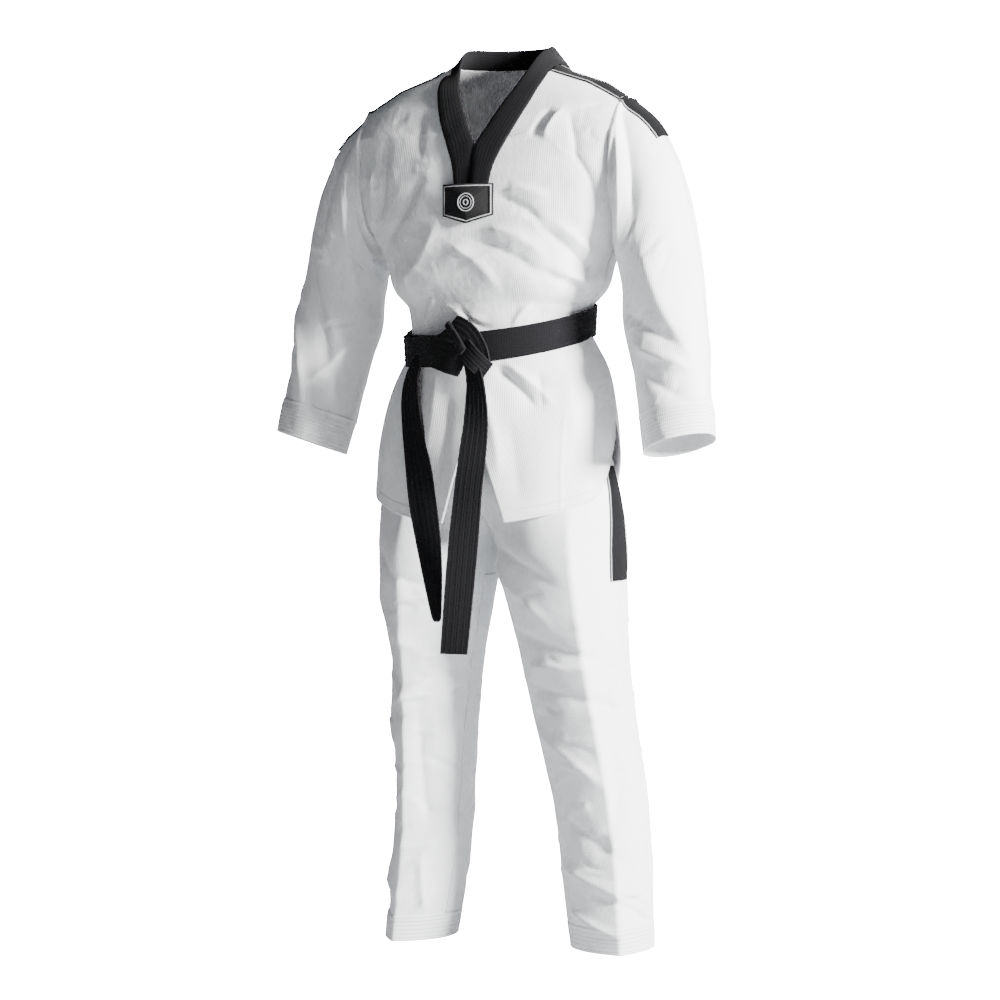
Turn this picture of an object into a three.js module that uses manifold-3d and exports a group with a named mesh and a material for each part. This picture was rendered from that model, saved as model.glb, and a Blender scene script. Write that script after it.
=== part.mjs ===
// A pullover V-neck training uniform: jacket with side vents, trousers and a knotted belt,
// worn open as on a figure. Millimetres, +Z up, the front faces -Y, the wearer's left is +X,
// and the origin is at the base of the neck.
import * as THREE from 'three';
import { mergeVertices } from 'three/addons/utils/BufferGeometryUtils.js';
import Module from 'manifold-3d';

const wasm = await Module();
wasm.setup();

// Driving dimensions
const wallThick = 3; // cloth wall of a panel
const tapeThick = 1.5; // tapes, patch and belt plies
const seamGap = 0.4; // clearance between sewn pieces
const layGap = 2; // clearance between a piece and what it lies on
const armholeX = 196; // the armhole plane
const armpitZ = -272;
const beltZ = -400; // middle of the belt at the side
const beltHalf = 24; // half of the belt's width
const beltRise = { x: 0.1, y: 0.2 }; // the belt's plane leans down to the front and to the right
const tailTopZ = -472.5; // where the belt tails start, just under the line they swing about
const crotchZ = -752;
const hipZ = -700; // outer end of the slanted leg seam
const hipX = 203;
const neckTip = { x: 5, z: -107 };

// A quantity that changes smoothly along a list of stations, 0 at the first and 1 at the last.
function along(stations, names) {
  const points = stations.map((one) => new THREE.Vector3(...names.map((name) => one[name] ?? 0)));
  const curve = new THREE.CatmullRomCurve3(points);
  return (t) => curve.getPoint(Math.min(Math.max(t, 0), 1));
}

function mix(from, to, t) {
  return from + (to - from) * t;
}

// Joins a grid of outer points and a grid of inner points into one closed geometry.
function closeGrids(outer, inner, columns, rows, round) {
  const points = [...outer, ...inner];
  const across = round ? columns : columns + 1;
  const count = across * (rows + 1);
  const faces = [];
  const at = (i, j) => j * across + (i % across);
  for (let j = 0; j < rows; j++) {
    for (let i = 0; i < columns; i++) {
      const corners = [at(i, j), at(i + 1, j), at(i + 1, j + 1), at(i, j + 1)];
      faces.push(corners[0], corners[1], corners[2], corners[0], corners[2], corners[3]);
      const under = corners.map((corner) => corner + count);
      faces.push(under[0], under[2], under[1], under[0], under[3], under[2]);
    }
  }
  const wall = (a, b) => faces.push(a, a + count, b + count, a, b + count, b);
  for (let i = 0; i < columns; i++) {
    wall(at(i, 0), at(i + 1, 0));
    wall(at(i + 1, rows), at(i, rows));
  }
  for (let j = 0; j < rows && !round; j++) {
    wall(at(columns, j), at(columns, j + 1));
    wall(at(0, j + 1), at(0, j));
  }
  const geometry = new THREE.BufferGeometry();
  const flat = points.flatMap((point) => [point.x, point.y, point.z]);
  geometry.setAttribute('position', new THREE.Float32BufferAttribute(flat, 3));
  geometry.setIndex(faces);
  return geometry;
}

// A panel of cloth: its outer side is surface(u, v), where the turn from u to v faces out.
function panel(surface, columns, rows, thick = wallThick, round = false) {
  const step = 1e-3;
  const outer = [];
  const inner = [];
  const across = round ? columns : columns + 1;
  for (let j = 0; j <= rows; j++) {
    for (let i = 0; i < across; i++) {
      const u = i / columns;
      const v = j / rows;
      const left = round ? u - step : Math.max(u - step, 0);
      const right = round ? u + step : Math.min(u + step, 1);
      const alongU = surface(right, v).sub(surface(left, v));
      const alongV = surface(u, Math.min(v + step, 1)).sub(surface(u, Math.max(v - step, 0)));
      const out = alongU.cross(alongV).normalize();
      const point = surface(u, v);
      outer.push(point);
      inner.push(point.clone().addScaledVector(out, -thick));
    }
  }
  return closeGrids(outer, inner, columns, rows, round);
}

// A surface moved outwards by a distance along its own normal.
function raised(surface, distance) {
  const step = 1e-3;
  return (u, v) => {
    const alongU = surface(u + step, v).sub(surface(u - step, v));
    const alongV = surface(u, v + step).sub(surface(u, v - step));
    return surface(u, v).addScaledVector(alongU.cross(alongV).normalize(), distance);
  };
}

function toSolid(geometry) {
  const bare = geometry.clone();
  for (const name of Object.keys(bare.attributes)) {
    if (name !== 'position') bare.deleteAttribute(name);
  }
  const merged = mergeVertices(bare, 1e-4);
  return new wasm.Manifold(new wasm.Mesh({
    numProp: 3,
    vertProperties: new Float32Array(merged.attributes.position.array),
    triVerts: new Uint32Array(merged.index.array),
  }));
}

function toGeometry(solid) {
  const mesh = solid.getMesh();
  const geometry = new THREE.BufferGeometry();
  geometry.setAttribute('position', new THREE.BufferAttribute(mesh.vertProperties, 3));
  geometry.setIndex(new THREE.BufferAttribute(mesh.triVerts, 1));
  return geometry;
}

// A block between two corners, for cutting.
function block(low, high) {
  const size = high.map((value, k) => value - low[k]);
  const box = new THREE.BoxGeometry(...size);
  box.translate(...low.map((value, k) => value + size[k] / 2));
  return toSolid(box);
}

// A prism along Y whose outline is given in X and Z.
function prism(outline, lowY, highY) {
  const shape = new THREE.Shape(outline.map(([x, z]) => new THREE.Vector2(x, z)));
  const solid = new THREE.ExtrudeGeometry(shape, { depth: highY - lowY, bevelEnabled: false });
  solid.rotateX(Math.PI / 2);
  solid.translate(0, highY, 0);
  return toSolid(solid);
}

const materials = {
  cloth: { color: 0xeceef2, roughness: 0.85, metalness: 0 },
  mesh: { color: 0xdfe2e8, roughness: 0.9, metalness: 0 },
  black: { color: 0x17181b, roughness: 0.8, metalness: 0 },
  grey: { color: 0x9a9ca0, roughness: 0.6, metalness: 0 },
};
const uniform = new THREE.Group();
function add(name, geometry, finish) {
  const part = new THREE.Mesh(geometry, new THREE.MeshStandardMaterial(materials[finish]));
  part.name = name;
  uniform.add(part);
}

// ---- Jacket body: rings stacked in height, each a rounded oval
const torsoStations = [
  { z: -470, wide: 163, deep: 111, square: 2.0, back: 0 },
  { z: -400, wide: 160, deep: 109, square: 2.0, back: 0 },
  { z: -345, wide: 162, deep: 111, square: 2.0, back: 0 },
  { z: -310, wide: 180, deep: 119, square: 2.2, back: 3 },
  { z: armpitZ, wide: 195, deep: 124, square: 2.3, back: 5 },
  { z: -220, wide: 222, deep: 123, square: 2.5, back: 7 },
  { z: -150, wide: 246, deep: 116, square: 2.6, back: 9 },
  { z: -85, wide: 250, deep: 102, square: 2.6, back: 11 },
  { z: -43, wide: 228, deep: 84, square: 2.5, back: 12 },
  { z: -8, wide: 176, deep: 63, square: 2.3, back: 13 },
  { z: 14, wide: 108, deep: 50, square: 2.2, back: 14 },
  { z: 24, wide: 66, deep: 38, square: 2.0, back: 15 },
];

// The oval of the jacket at a height, by straight steps between the stations.
function torsoOval(z) {
  const last = torsoStations.length - 2;
  let k = torsoStations.findIndex((one, n) => n > 0 && one.z >= z) - 1;
  if (k < 0) k = z < torsoStations[0].z ? 0 : last;
  const [low, high] = [torsoStations[k], torsoStations[k + 1]];
  const t = Math.min(Math.max((z - low.z) / (high.z - low.z), 0), 1);
  const oval = {};
  for (const name of ['wide', 'deep', 'square', 'back']) oval[name] = mix(low[name], high[name], t);
  return oval;
}

// Half the front-to-back depth of an oval at a distance x from its middle.
function ovalDepth(oval, x) {
  const rest = 1 - (Math.min(Math.abs(x), oval.wide) / oval.wide) ** oval.square;
  return oval.deep * rest ** (1 / oval.square);
}

function torsoFrontY(x, z) {
  const oval = torsoOval(z);
  return oval.back - ovalDepth(oval, x);
}

// A capped stack of ovals, shrunk by an inset, as a closed geometry.
function torsoLoft(inset, sides = 28) {
  const points = [];
  for (const one of torsoStations) {
    for (let i = 0; i < sides; i++) {
      const angle = (i / sides) * 2 * Math.PI;
      const power = 2 / one.square;
      const x = (one.wide - inset) * Math.sign(Math.cos(angle)) * Math.abs(Math.cos(angle)) ** power;
      const y = (one.deep - inset) * Math.sign(Math.sin(angle)) * Math.abs(Math.sin(angle)) ** power;
      points.push(x, one.back + y, one.z - (one.z > armpitZ ? inset : 0));
    }
  }
  const rings = torsoStations.length;
  const [bottom, top] = [rings * sides, rings * sides + 1];
  points.push(0, 0, torsoStations[0].z - inset, 0, 15, torsoStations[rings - 1].z - inset);
  const faces = [];
  for (let j = 0; j < rings - 1; j++) {
    for (let i = 0; i < sides; i++) {
      const [a, b] = [j * sides + i, j * sides + ((i + 1) % sides)];
      faces.push(a, b, b + sides, a, b + sides, a + sides);
    }
  }
  for (let i = 0; i < sides; i++) {
    faces.push(bottom, (i + 1) % sides, i);
    faces.push(top, (rings - 1) * sides + i, (rings - 1) * sides + ((i + 1) % sides));
  }
  const geometry = new THREE.BufferGeometry();
  geometry.setAttribute('position', new THREE.Float32BufferAttribute(points, 3));
  geometry.setIndex(faces);
  return geometry;
}

const far = 900;
const neckCut = prism([[neckTip.x, neckTip.z - 8], [72, 40], [72, 90], [-72, 90], [-72, 40]], -300, 20);
const neckHole = new THREE.CylinderGeometry(72, 72, 200, 24);
neckHole.rotateX(Math.PI / 2);
neckHole.scale(1, 0.8, 1);
neckHole.translate(0, 18, 60);
// Everything under the belt's lower edge
const lowerHalf = new THREE.BoxGeometry(far, far, far);
lowerHalf.translate(0, 0, -far / 2);
lowerHalf.applyMatrix4(new THREE.Matrix4().set(
  1, 0, 0, 0, 0, 1, 0, 0, beltRise.x, beltRise.y, 1, beltZ - beltHalf - 3, 0, 0, 0, 1,
));
const torsoShell = toSolid(torsoLoft(0))
  .subtract(toSolid(torsoLoft(wallThick)))
  .intersect(block([-armholeX, -300, -far], [armholeX, 300, far]))
  .subtract(neckCut)
  .subtract(toSolid(neckHole))
  .subtract(toSolid(lowerHalf));
const sideSeamY = 8;
add('jacket_front', toGeometry(
  torsoShell.intersect(block([-far, -far, -far], [far, sideSeamY, far]))), 'cloth');
add('jacket_back', toGeometry(
  torsoShell.intersect(block([-far, sideSeamY + seamGap, -far], [far, far, far]))), 'cloth');

// ---- Collar: two bands along the V and one round the back of the neck
function collarBand(side) {
  const inner = along([
    { x: neckTip.x + side * 0.3, z: -164 },
    { x: neckTip.x + side * 0.3, z: neckTip.z },
    { x: side * 34, z: -42 },
    { x: side * 68, z: 22 },
  ], ['x', 'z']);
  const outer = along([
    { x: side * 31 + 3, z: -164 },
    { x: side * 58 + 2, z: -100 },
    { x: side * 82, z: -45 },
    { x: side * 100, z: 6 },
  ], ['x', 'z']);
  const surface = (u, v) => {
    const [a, b] = side > 0 ? [inner(v), outer(v)] : [outer(v), inner(v)];
    const x = mix(a.x, b.x, u);
    const z = mix(a.y, b.y, u);
    return new THREE.Vector3(x, torsoFrontY(x, z) - layGap - wallThick, z);
  };
  const edge = neckTip.x + (side * seamGap) / 2;
  const ownSide = block([side > 0 ? edge : -far, -far, -far], [side > 0 ? far : edge, far, far]);
  return toGeometry(toSolid(panel(surface, 3, 9, 2 * wallThick))
    .subtract(toSolid(torsoLoft(-seamGap)))
    .intersect(ownSide));
}
add('collar_right', collarBand(-1), 'black');
add('collar_left', collarBand(1), 'black');
add('collar_back', panel((u, v) => {
  const angle = mix(0.06, Math.PI - 0.06, u);
  const rim = { wide: mix(101, 74, v), deep: mix(72, 60, v), z: mix(18, 58, v) };
  const drop = (1 - Math.sin(angle)) * mix(0, 16, v);
  return new THREE.Vector3(rim.wide * Math.cos(angle), 18.5 + rim.deep * Math.sin(angle), rim.z + 1 - drop);
}, 14, 2), 'black');

// ---- Chest patch with a thin border frame and a raised round crest
const patch = { half: 43, topZ: -168, shoulderZ: -216, tipZ: -228, y: torsoFrontY(0, -195) - 9 };
function patchOutline(inset) {
  return [
    [-patch.half + inset, patch.topZ - inset], [-patch.half + inset, patch.shoulderZ + inset / 2],
    [0, patch.tipZ + inset], [patch.half - inset, patch.shoulderZ + inset / 2],
    [patch.half - inset, patch.topZ - inset],
  ];
}
const patchSolid = prism(patchOutline(0), patch.y - tapeThick, patch.y);
add('chest_patch', toGeometry(patchSolid), 'black');
const borderFront = patch.y - tapeThick - seamGap;
const border = prism(patchOutline(2.5), borderFront - 0.8, borderFront)
  .subtract(prism(patchOutline(4.5), borderFront - 5, borderFront + 5));
add('patch_border', toGeometry(border), 'grey');
const crest = new THREE.CylinderGeometry(13, 13, 0.8, 20);
crest.translate(0, borderFront - 0.4, patch.topZ - 26);
add('patch_crest', crest, 'grey');

// ---- Shoulder tapes on the jacket body
function shoulderZ(x, y) {
  let [low, high] = [-90, 30];
  for (let k = 0; k < 30; k++) {
    const z = (low + high) / 2;
    const oval = torsoOval(z);
    const inside = Math.abs(x) < oval.wide && Math.abs(y - oval.back) < ovalDepth(oval, x);
    if (inside) low = z;
    else high = z;
  }
  return low;
}
const shoulderTape = (side) => (u, v) => {
  const x = mix(106, armholeX - 1, side > 0 ? u : 1 - u) * side;
  const y = 12 + mix(-20, 20, v);
  return new THREE.Vector3(x, y, shoulderZ(x, y) + layGap + tapeThick + 1);
};
add('right_shoulder_tape', panel(shoulderTape(-1), 5, 4, tapeThick), 'black');
add('left_shoulder_tape', panel(shoulderTape(1), 5, 4, tapeThick), 'black');

// ---- Sleeves, from the armhole to the cuff. lean turns the ring from the armhole's plane
// towards level, and pitch tips it forwards with the forearm.
const sleeveStations = [
  { x: armholeX + layGap, y: 9, z: -146, wide: 125, deep: 82, lean: 0, pitch: 0 },
  { x: 221, y: 8, z: -163, wide: 118, deep: 83, lean: 9.5, pitch: 0 },
  { x: 243, y: 6, z: -191, wide: 105, deep: 82, lean: 20, pitch: 0 },
  { x: 261, y: 4, z: -235, wide: 87, deep: 78, lean: 35, pitch: 1 },
  { x: 275, y: 0, z: -297, wide: 72, deep: 71, lean: 53, pitch: 3 },
  { x: 284, y: -5, z: -372, wide: 68, deep: 65, lean: 71, pitch: 5 },
  { x: 301, y: -14, z: -450, wide: 65, deep: 61, lean: 75, pitch: 8 },
  { x: 313, y: -25, z: -520, wide: 62, deep: 58, lean: 77, pitch: 10 },
  { x: 324, y: -38, z: -588, wide: 58, deep: 54, lean: 78, pitch: 11 },
];
const sleeveCentre = along(sleeveStations, ['x', 'y', 'z']);
const sleeveSize = along(sleeveStations, ['wide', 'deep']);
const sleeveTurn = along(sleeveStations, ['lean', 'pitch']);
function sleevePoint(angle, v) {
  const centre = sleeveCentre(1 - v);
  const size = sleeveSize(1 - v);
  const turn = sleeveTurn(1 - v).multiplyScalar(Math.PI / 180);
  const across = new THREE.Vector3(Math.sin(turn.x), 0, Math.cos(turn.x));
  const depth = new THREE.Vector3(0, Math.cos(turn.y), -Math.sin(turn.y));
  return centre
    .addScaledVector(across, size.x * Math.cos(angle))
    .addScaledVector(depth, size.y * Math.sin(angle));
}
const cuffTop = 0.105; // share of the sleeve's length taken by the cuff
const cornerGap = 0.004; // seam clearance as an angle
const sleeveFoot = cuffTop + 0.001;
const sleeveRows = 10;
const rowShare = (1 - sleeveFoot) / sleeveRows;
const gussetSpan = { low: 1 - 4 * rowShare, high: 1 - rowShare, rows: 3 };
// Half the angle of the underarm gusset, a diamond on the inner side of the sleeve
function gussetHalf(v) {
  const middle = (gussetSpan.low + gussetSpan.high) / 2;
  const reach = (gussetSpan.high - gussetSpan.low) / 2 + 0.03;
  return 0.45 * Math.max(1 - Math.abs(v - middle) / reach, 0);
}
const overSleeve = (fromAngle, toAngle, low, high) => (u, v) => {
  const t = mix(low, high, v);
  return sleevePoint(mix(fromAngle(t), toAngle(t), u), t);
};
const sleevePieces = {
  sleeve_front: [panel(overSleeve((t) => Math.PI + gussetHalf(t) + cornerGap,
    () => 2 * Math.PI - cornerGap, sleeveFoot, 1), 7, sleeveRows), 'cloth'],
  sleeve_back: [panel(overSleeve(() => cornerGap,
    (t) => Math.PI - gussetHalf(t) - cornerGap, sleeveFoot, 1), 7, sleeveRows), 'cloth'],
  underarm_gusset: [panel(overSleeve((t) => Math.PI - gussetHalf(t) + 2 * cornerGap,
    (t) => Math.PI + gussetHalf(t) - 2 * cornerGap, gussetSpan.low, gussetSpan.high), 3, gussetSpan.rows),
  'mesh'],
  cuff: [panel(overSleeve(() => 0, () => 2 * Math.PI, 0, cuffTop), 14, 1, wallThick, true), 'cloth'],
  sleeve_tape: [panel(raised(overSleeve(() => -0.24, () => 0.24, 0.8, 0.99), layGap + tapeThick), 3, 4,
    tapeThick), 'black'],
};
// The same piece for the other arm, with its faces turned to point out again.
function mirrored(geometry) {
  const copy = geometry.clone();
  copy.scale(-1, 1, 1);
  const order = Array.from(copy.index.array);
  for (let k = 0; k < order.length; k += 3) [order[k], order[k + 1]] = [order[k + 1], order[k]];
  copy.setIndex(order);
  return copy;
}
for (const [name, [geometry, finish]] of Object.entries(sleevePieces)) {
  add(`left_${name}`, geometry, finish);
  add(`right_${name}`, mirrored(geometry), finish);
}

// ---- Belt: two plies round the waist, the knot and two tails
const beltOval = { wide: 162, deep: 111 };
const beltMiddle = (x, y) => beltZ + beltRise.x * x + beltRise.y * y;
const beltPly = (out) => (u, v) => {
  const angle = u * 2 * Math.PI;
  const x = (beltOval.wide + out) * Math.cos(angle);
  const y = (beltOval.deep + out) * Math.sin(angle);
  return new THREE.Vector3(x, y, beltMiddle(x, y) + mix(-beltHalf, beltHalf, v));
};
const plyStep = 3.5;
add('belt_inner_wrap', panel(beltPly(plyStep + 1), 28, 1, tapeThick, true), 'black');
add('belt_outer_wrap', panel(beltPly(2 * plyStep + 1), 28, 1, tapeThick, true), 'black');

const knot = { backY: -122, midY: -134, frontY: -149 };
const knotBlock = (name, outline, lowY, highY) => add(name, toGeometry(prism(outline, lowY, highY)), 'black');
knotBlock('knot_core', [[-26, -402], [-30, -420], [-20, -452], [6, -464], [30, -452], [34, -428], [20, -398]],
  knot.midY + seamGap, knot.backY);
knotBlock('knot_fold', [[-36, -384], [-8, -388], [26, -420], [38, -446], [22, -462], [-2, -440], [-26, -414]],
  knot.frontY, knot.midY);

// A hanging strap: a centre line with a width, curved a little in depth.
function strap(line) {
  const middle = along(line, ['x', 'y', 'z']);
  const half = along(line, ['half']);
  return (u, v) => {
    const centre = middle(1 - v);
    centre.x += half(1 - v).x * mix(-1, 1, u);
    return centre;
  };
}
add('belt_tail_long', panel(strap([
  { x: 24, y: -147, z: tailTopZ, half: 20 },
  { x: 18, y: -151, z: -560, half: 23 },
  { x: 12, y: -157, z: -680, half: 24 },
  { x: 4, y: -163, z: -800, half: 24 },
  { x: -3, y: -168, z: -900, half: 24 },
]), 2, 10, 2 * tapeThick), 'black');
add('belt_tail_short', panel(strap([
  { x: -88, y: -133, z: tailTopZ, half: 18 },
  { x: -85, y: -139, z: -540, half: 20 },
  { x: -72, y: -148, z: -640, half: 22 },
  { x: -58, y: -156, z: -750, half: 20 },
  { x: -46, y: -163, z: -846, half: 8 },
]), 2, 10, 2 * tapeThick), 'black');

// ---- Jacket skirt below the belt, open at both sides and notched in front
const skirtOval = along([
  { wide: 209, deep: 141 }, { wide: 203, deep: 138 }, { wide: 190, deep: 130 }, { wide: 167, deep: 115 },
], ['wide', 'deep']);
const skirtTop = (x, y) => beltMiddle(x, y) - beltHalf - 6;
const skirtHem = (angle) => -645 - 50 * Math.abs(Math.sin(angle)) ** 1.5;
const skirtPanel = (fromAngle, toAngle) => (u, v) => {
  const angle = mix(fromAngle, toAngle, u);
  const size = skirtOval(v);
  const x = size.x * Math.cos(angle);
  const y = size.y * Math.sin(angle);
  return new THREE.Vector3(x, y, mix(skirtHem(angle), skirtTop(x, y), v));
};
const ventGap = 0.012;
const skirtFront = toSolid(panel(skirtPanel(Math.PI + ventGap, 2 * Math.PI - ventGap), 14, 5));
const notch = prism([[14, -540], [-37, -710], [70, -710]], -400, 0);
add('skirt_front', toGeometry(skirtFront.subtract(notch)), 'cloth');
add('skirt_back', panel(skirtPanel(ventGap, Math.PI - ventGap), 14, 5), 'cloth');

// ---- Trousers: waistband, seat, crotch gusset and legs
const seatStations = [
  { z: -418, wide: 136, deep: 92 }, { z: -470, wide: 140, deep: 97 }, { z: -530, wide: 152, deep: 106 },
  { z: -590, wide: 174, deep: 118 }, { z: -640, wide: 193, deep: 126 }, { z: hipZ, wide: hipX, deep: 130 },
];
const seatSize = along(seatStations.toReversed(), ['wide', 'deep']);
const legSeamZ = (x) => mix(crotchZ, hipZ, Math.min(Math.abs(x) / hipX, 1)) + 1.5;
const seatPanel = (fromAngle, toAngle, low = 0, high = 1) => (u, v) => {
  const angle = mix(fromAngle, toAngle, u);
  const t = mix(low, high, v);
  const size = seatSize(t);
  const x = size.x * Math.cos(angle);
  return new THREE.Vector3(x, size.y * Math.sin(angle), mix(legSeamZ(x), seatStations[0].z, t));
};
const bandFoot = 0.87;
const seamAngle = 0.003;
add('trousers_seat_front', panel(seatPanel(Math.PI + seamAngle, 2 * Math.PI - seamAngle, 0, bandFoot), 14, 5),
  'cloth');
add('trousers_seat_back', panel(seatPanel(seamAngle, Math.PI - seamAngle, 0, bandFoot), 14, 5), 'cloth');
add('trousers_waistband', panel(seatPanel(0, 2 * Math.PI, bandFoot + 0.003, 1), 28, 1, wallThick, true),
  'cloth');
const gusset = { half: 26, reach: 122, topZ: crotchZ + 10 };
add('crotch_gusset', panel((u, v) => {
  const y = mix(gusset.reach, -gusset.reach, u);
  return new THREE.Vector3(mix(-gusset.half, gusset.half, v), y, gusset.topZ);
}, 6, 2), 'cloth');

const legs = {
  left: {
    side: 1,
    stations: [
      { x: 105, y: 0, z: -726, wide: 98, deep: 126, lean: 15 },
      { x: 112, y: 0, z: -800, wide: 93, deep: 106, lean: 9 },
      { x: 131, y: 0, z: -900, wide: 89, deep: 93, lean: 3 },
      { x: 152, y: 0, z: -1010, wide: 84, deep: 86, lean: 0 },
      { x: 176, y: 2, z: -1130, wide: 79, deep: 82, lean: 0 },
      { x: 188, y: 3, z: -1250, wide: 76, deep: 80, lean: 0 },
      { x: 195, y: 3, z: -1384, wide: 68, deep: 76, lean: 0 },
    ],
  },
  right: {
    side: -1,
    stations: [
      { x: -105, y: 0, z: -726, wide: 98, deep: 126, lean: -15 },
      { x: -110, y: 0, z: -800, wide: 88, deep: 104, lean: -9 },
      { x: -112, y: 0, z: -900, wide: 76, deep: 90, lean: -3 },
      { x: -113, y: 0, z: -1010, wide: 69, deep: 82, lean: 0 },
      { x: -117, y: 2, z: -1130, wide: 67, deep: 78, lean: 0 },
      { x: -127, y: 3, z: -1250, wide: 66, deep: 74, lean: 0 },
      { x: -141, y: 3, z: -1384, wide: 60, deep: 70, lean: 0 },
    ],
  },
};
const hemTop = 0.07; // share of the leg's length taken by the hem band
const innerHalf = (t) => mix(0.5, 0.2, t); // half angle of the inner leg panel
for (const [name, leg] of Object.entries(legs)) {
  const centre = along(leg.stations, ['x', 'y', 'z']);
  const size = along(leg.stations, ['wide', 'deep', 'lean']);
  const legPoint = (angle, t) => {
    const ring = size(1 - t);
    const lean = THREE.MathUtils.degToRad(ring.z);
    return centre(1 - t)
      .addScaledVector(new THREE.Vector3(Math.cos(lean), 0, Math.sin(lean)), ring.x * Math.cos(angle))
      .addScaledVector(new THREE.Vector3(0, 1, 0), ring.y * Math.sin(angle));
  };
  const overLeg = (fromAngle, toAngle, low, high) => (u, v) => {
    const t = mix(low, high, v);
    return legPoint(mix(fromAngle(t), toAngle(t), u), t);
  };
  const inward = leg.side > 0 ? Math.PI : 0;
  const outward = Math.PI - inward;
  const foot = hemTop + 0.001;
  const frontOf = leg.side > 0
    ? [(t) => Math.PI + innerHalf(t) + cornerGap, () => 2 * Math.PI - cornerGap]
    : [() => Math.PI + cornerGap, (t) => 2 * Math.PI - innerHalf(t) - cornerGap];
  const backOf = leg.side > 0
    ? [() => cornerGap, (t) => Math.PI - innerHalf(t) - cornerGap]
    : [(t) => innerHalf(t) + cornerGap, () => Math.PI - cornerGap];
  add(`${name}_leg_front`, panel(overLeg(...frontOf, foot, 1), 7, 9), 'cloth');
  add(`${name}_leg_back`, panel(overLeg(...backOf, foot, 1), 7, 9), 'cloth');
  add(`${name}_inner_leg_panel`, panel(overLeg((t) => inward - innerHalf(t) + cornerGap,
    (t) => inward + innerHalf(t) - cornerGap, foot, 1), 3, 9), 'mesh');
  add(`${name}_leg_hem`, panel(overLeg(() => 0, () => 2 * Math.PI, 0, hemTop), 14, 1, wallThick, true),
    'cloth');
  add(`${name}_leg_tape`, panel(raised(overLeg(() => outward - 0.2, () => outward + 0.2, 0.86, 0.985),
    layGap + tapeThick), 3, 3, tapeThick), 'black');
  add(`${name}_hip_tape`, panel(raised(seatPanel(outward - 0.15, outward + 0.15, 0.02, 0.26),
    layGap + tapeThick), 3, 3, tapeThick), 'black');
}

export default uniform;
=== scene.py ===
import math
import bpy
import numpy as np
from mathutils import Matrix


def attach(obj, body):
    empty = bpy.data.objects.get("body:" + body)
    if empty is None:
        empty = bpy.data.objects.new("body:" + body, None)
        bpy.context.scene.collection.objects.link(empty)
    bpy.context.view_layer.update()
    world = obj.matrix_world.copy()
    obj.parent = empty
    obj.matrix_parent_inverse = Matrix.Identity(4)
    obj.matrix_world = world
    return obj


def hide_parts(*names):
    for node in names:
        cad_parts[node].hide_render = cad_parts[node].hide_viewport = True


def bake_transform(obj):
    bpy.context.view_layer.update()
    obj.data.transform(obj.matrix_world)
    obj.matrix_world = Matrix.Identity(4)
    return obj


# A V-neck training uniform with a knotted belt. Metres, +Z up, the front faces -Y, the wearer's left is +X.
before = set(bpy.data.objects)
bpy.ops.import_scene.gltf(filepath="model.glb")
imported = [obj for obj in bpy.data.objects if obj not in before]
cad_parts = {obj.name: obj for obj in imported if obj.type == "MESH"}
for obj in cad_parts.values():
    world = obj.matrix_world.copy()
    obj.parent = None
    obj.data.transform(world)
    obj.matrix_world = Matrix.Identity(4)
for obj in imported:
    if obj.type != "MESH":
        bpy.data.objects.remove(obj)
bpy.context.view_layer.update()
tau = 2 * math.pi
mm = 0.001
print("stage: frame loaded")

# shared helpers


def along(stations, t):
    # Smooth values between evenly spaced stations: a Catmull-Rom cubic through the rows, at t from 0 to 1.
    rows = np.asarray(stations, float)
    t = np.clip(np.asarray(t, float), 0, 1) * (len(rows) - 1)
    k = np.minimum(t.astype(int), len(rows) - 2)
    f = (t - k)[..., None]
    a, b, c, d = (rows[np.clip(k + n, 0, len(rows) - 1)] for n in (-1, 0, 1, 2))
    a = np.where((k == 0)[..., None], 2 * b - c, a)
    d = np.where((k == len(rows) - 2)[..., None], 2 * c - b, d)
    return 0.5 * (2 * b + (c - a) * f + (2 * a - 5 * b + 4 * c - d) * f**2 + (3 * b - a - 3 * c + d) * f**3)


def step01(low, high, x):
    # 0 below low, 1 above high, and the smooth cubic 3t^2 - 2t^3 between.
    t = np.clip((x - low) / (high - low), 0, 1)
    return t * t * (3 - 2 * t)


def bump(x, middle, width):
    # A bell: exp(-((x - middle) / width)^2).
    return np.exp(-(((x - middle) / width) ** 2))


def gridNormals(p, closed=False):
    # Unit normals of a grid of points: the cross product of its two directions of travel.
    du = np.roll(p, -1, 1) - np.roll(p, 1, 1) if closed else np.gradient(p, axis=1)
    n = np.cross(du, np.gradient(p, axis=0))
    return n / np.maximum(np.linalg.norm(n, axis=2, keepdims=True), 1e-12)


def foldField(a, b, folds, gain=1.0):
    # Height of a set of folds at (a, b). A fold runs from one point to another, bent sideways by its bow. Its
    # section is a crisp ridge, h * exp(0.25 - 1.4 * sqrt((d/w)^2 + 0.03)) * (1 + lean * d/w), and it fades out
    # over its ends. Each fold is (a, b) of both ends, width w, height h, lean, bow.
    height = np.zeros_like(a)
    for a0, b0, a1, b1, w, h, lean, bow in folds:
        length = math.hypot(a1 - a0, b1 - b0)
        ux, uz = (a1 - a0) / length, (b1 - b0) / length
        s = ((a - a0) * ux + (b - b0) * uz) / length
        d = (a - a0) * uz - (b - b0) * ux + bow * 4 * np.clip(s, 0, 1) * (1 - np.clip(s, 0, 1))
        fade = step01(-0.12, 0.22, s) * (1 - step01(0.72, 1.12, s))
        near = d / w
        ridge = np.exp(0.25 - 1.4 * np.sqrt(near**2 + 0.03)) * (1 + lean * np.clip(near, -1.4, 1.4))
        height += gain * h * ridge * fade
    return height


def inMetres(folds):
    # A table of folds in mm turned to metres: every column times mm, apart from the lean.
    return np.array(folds, float) * [mm, mm, mm, mm, mm, mm, 1, mm]


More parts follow.
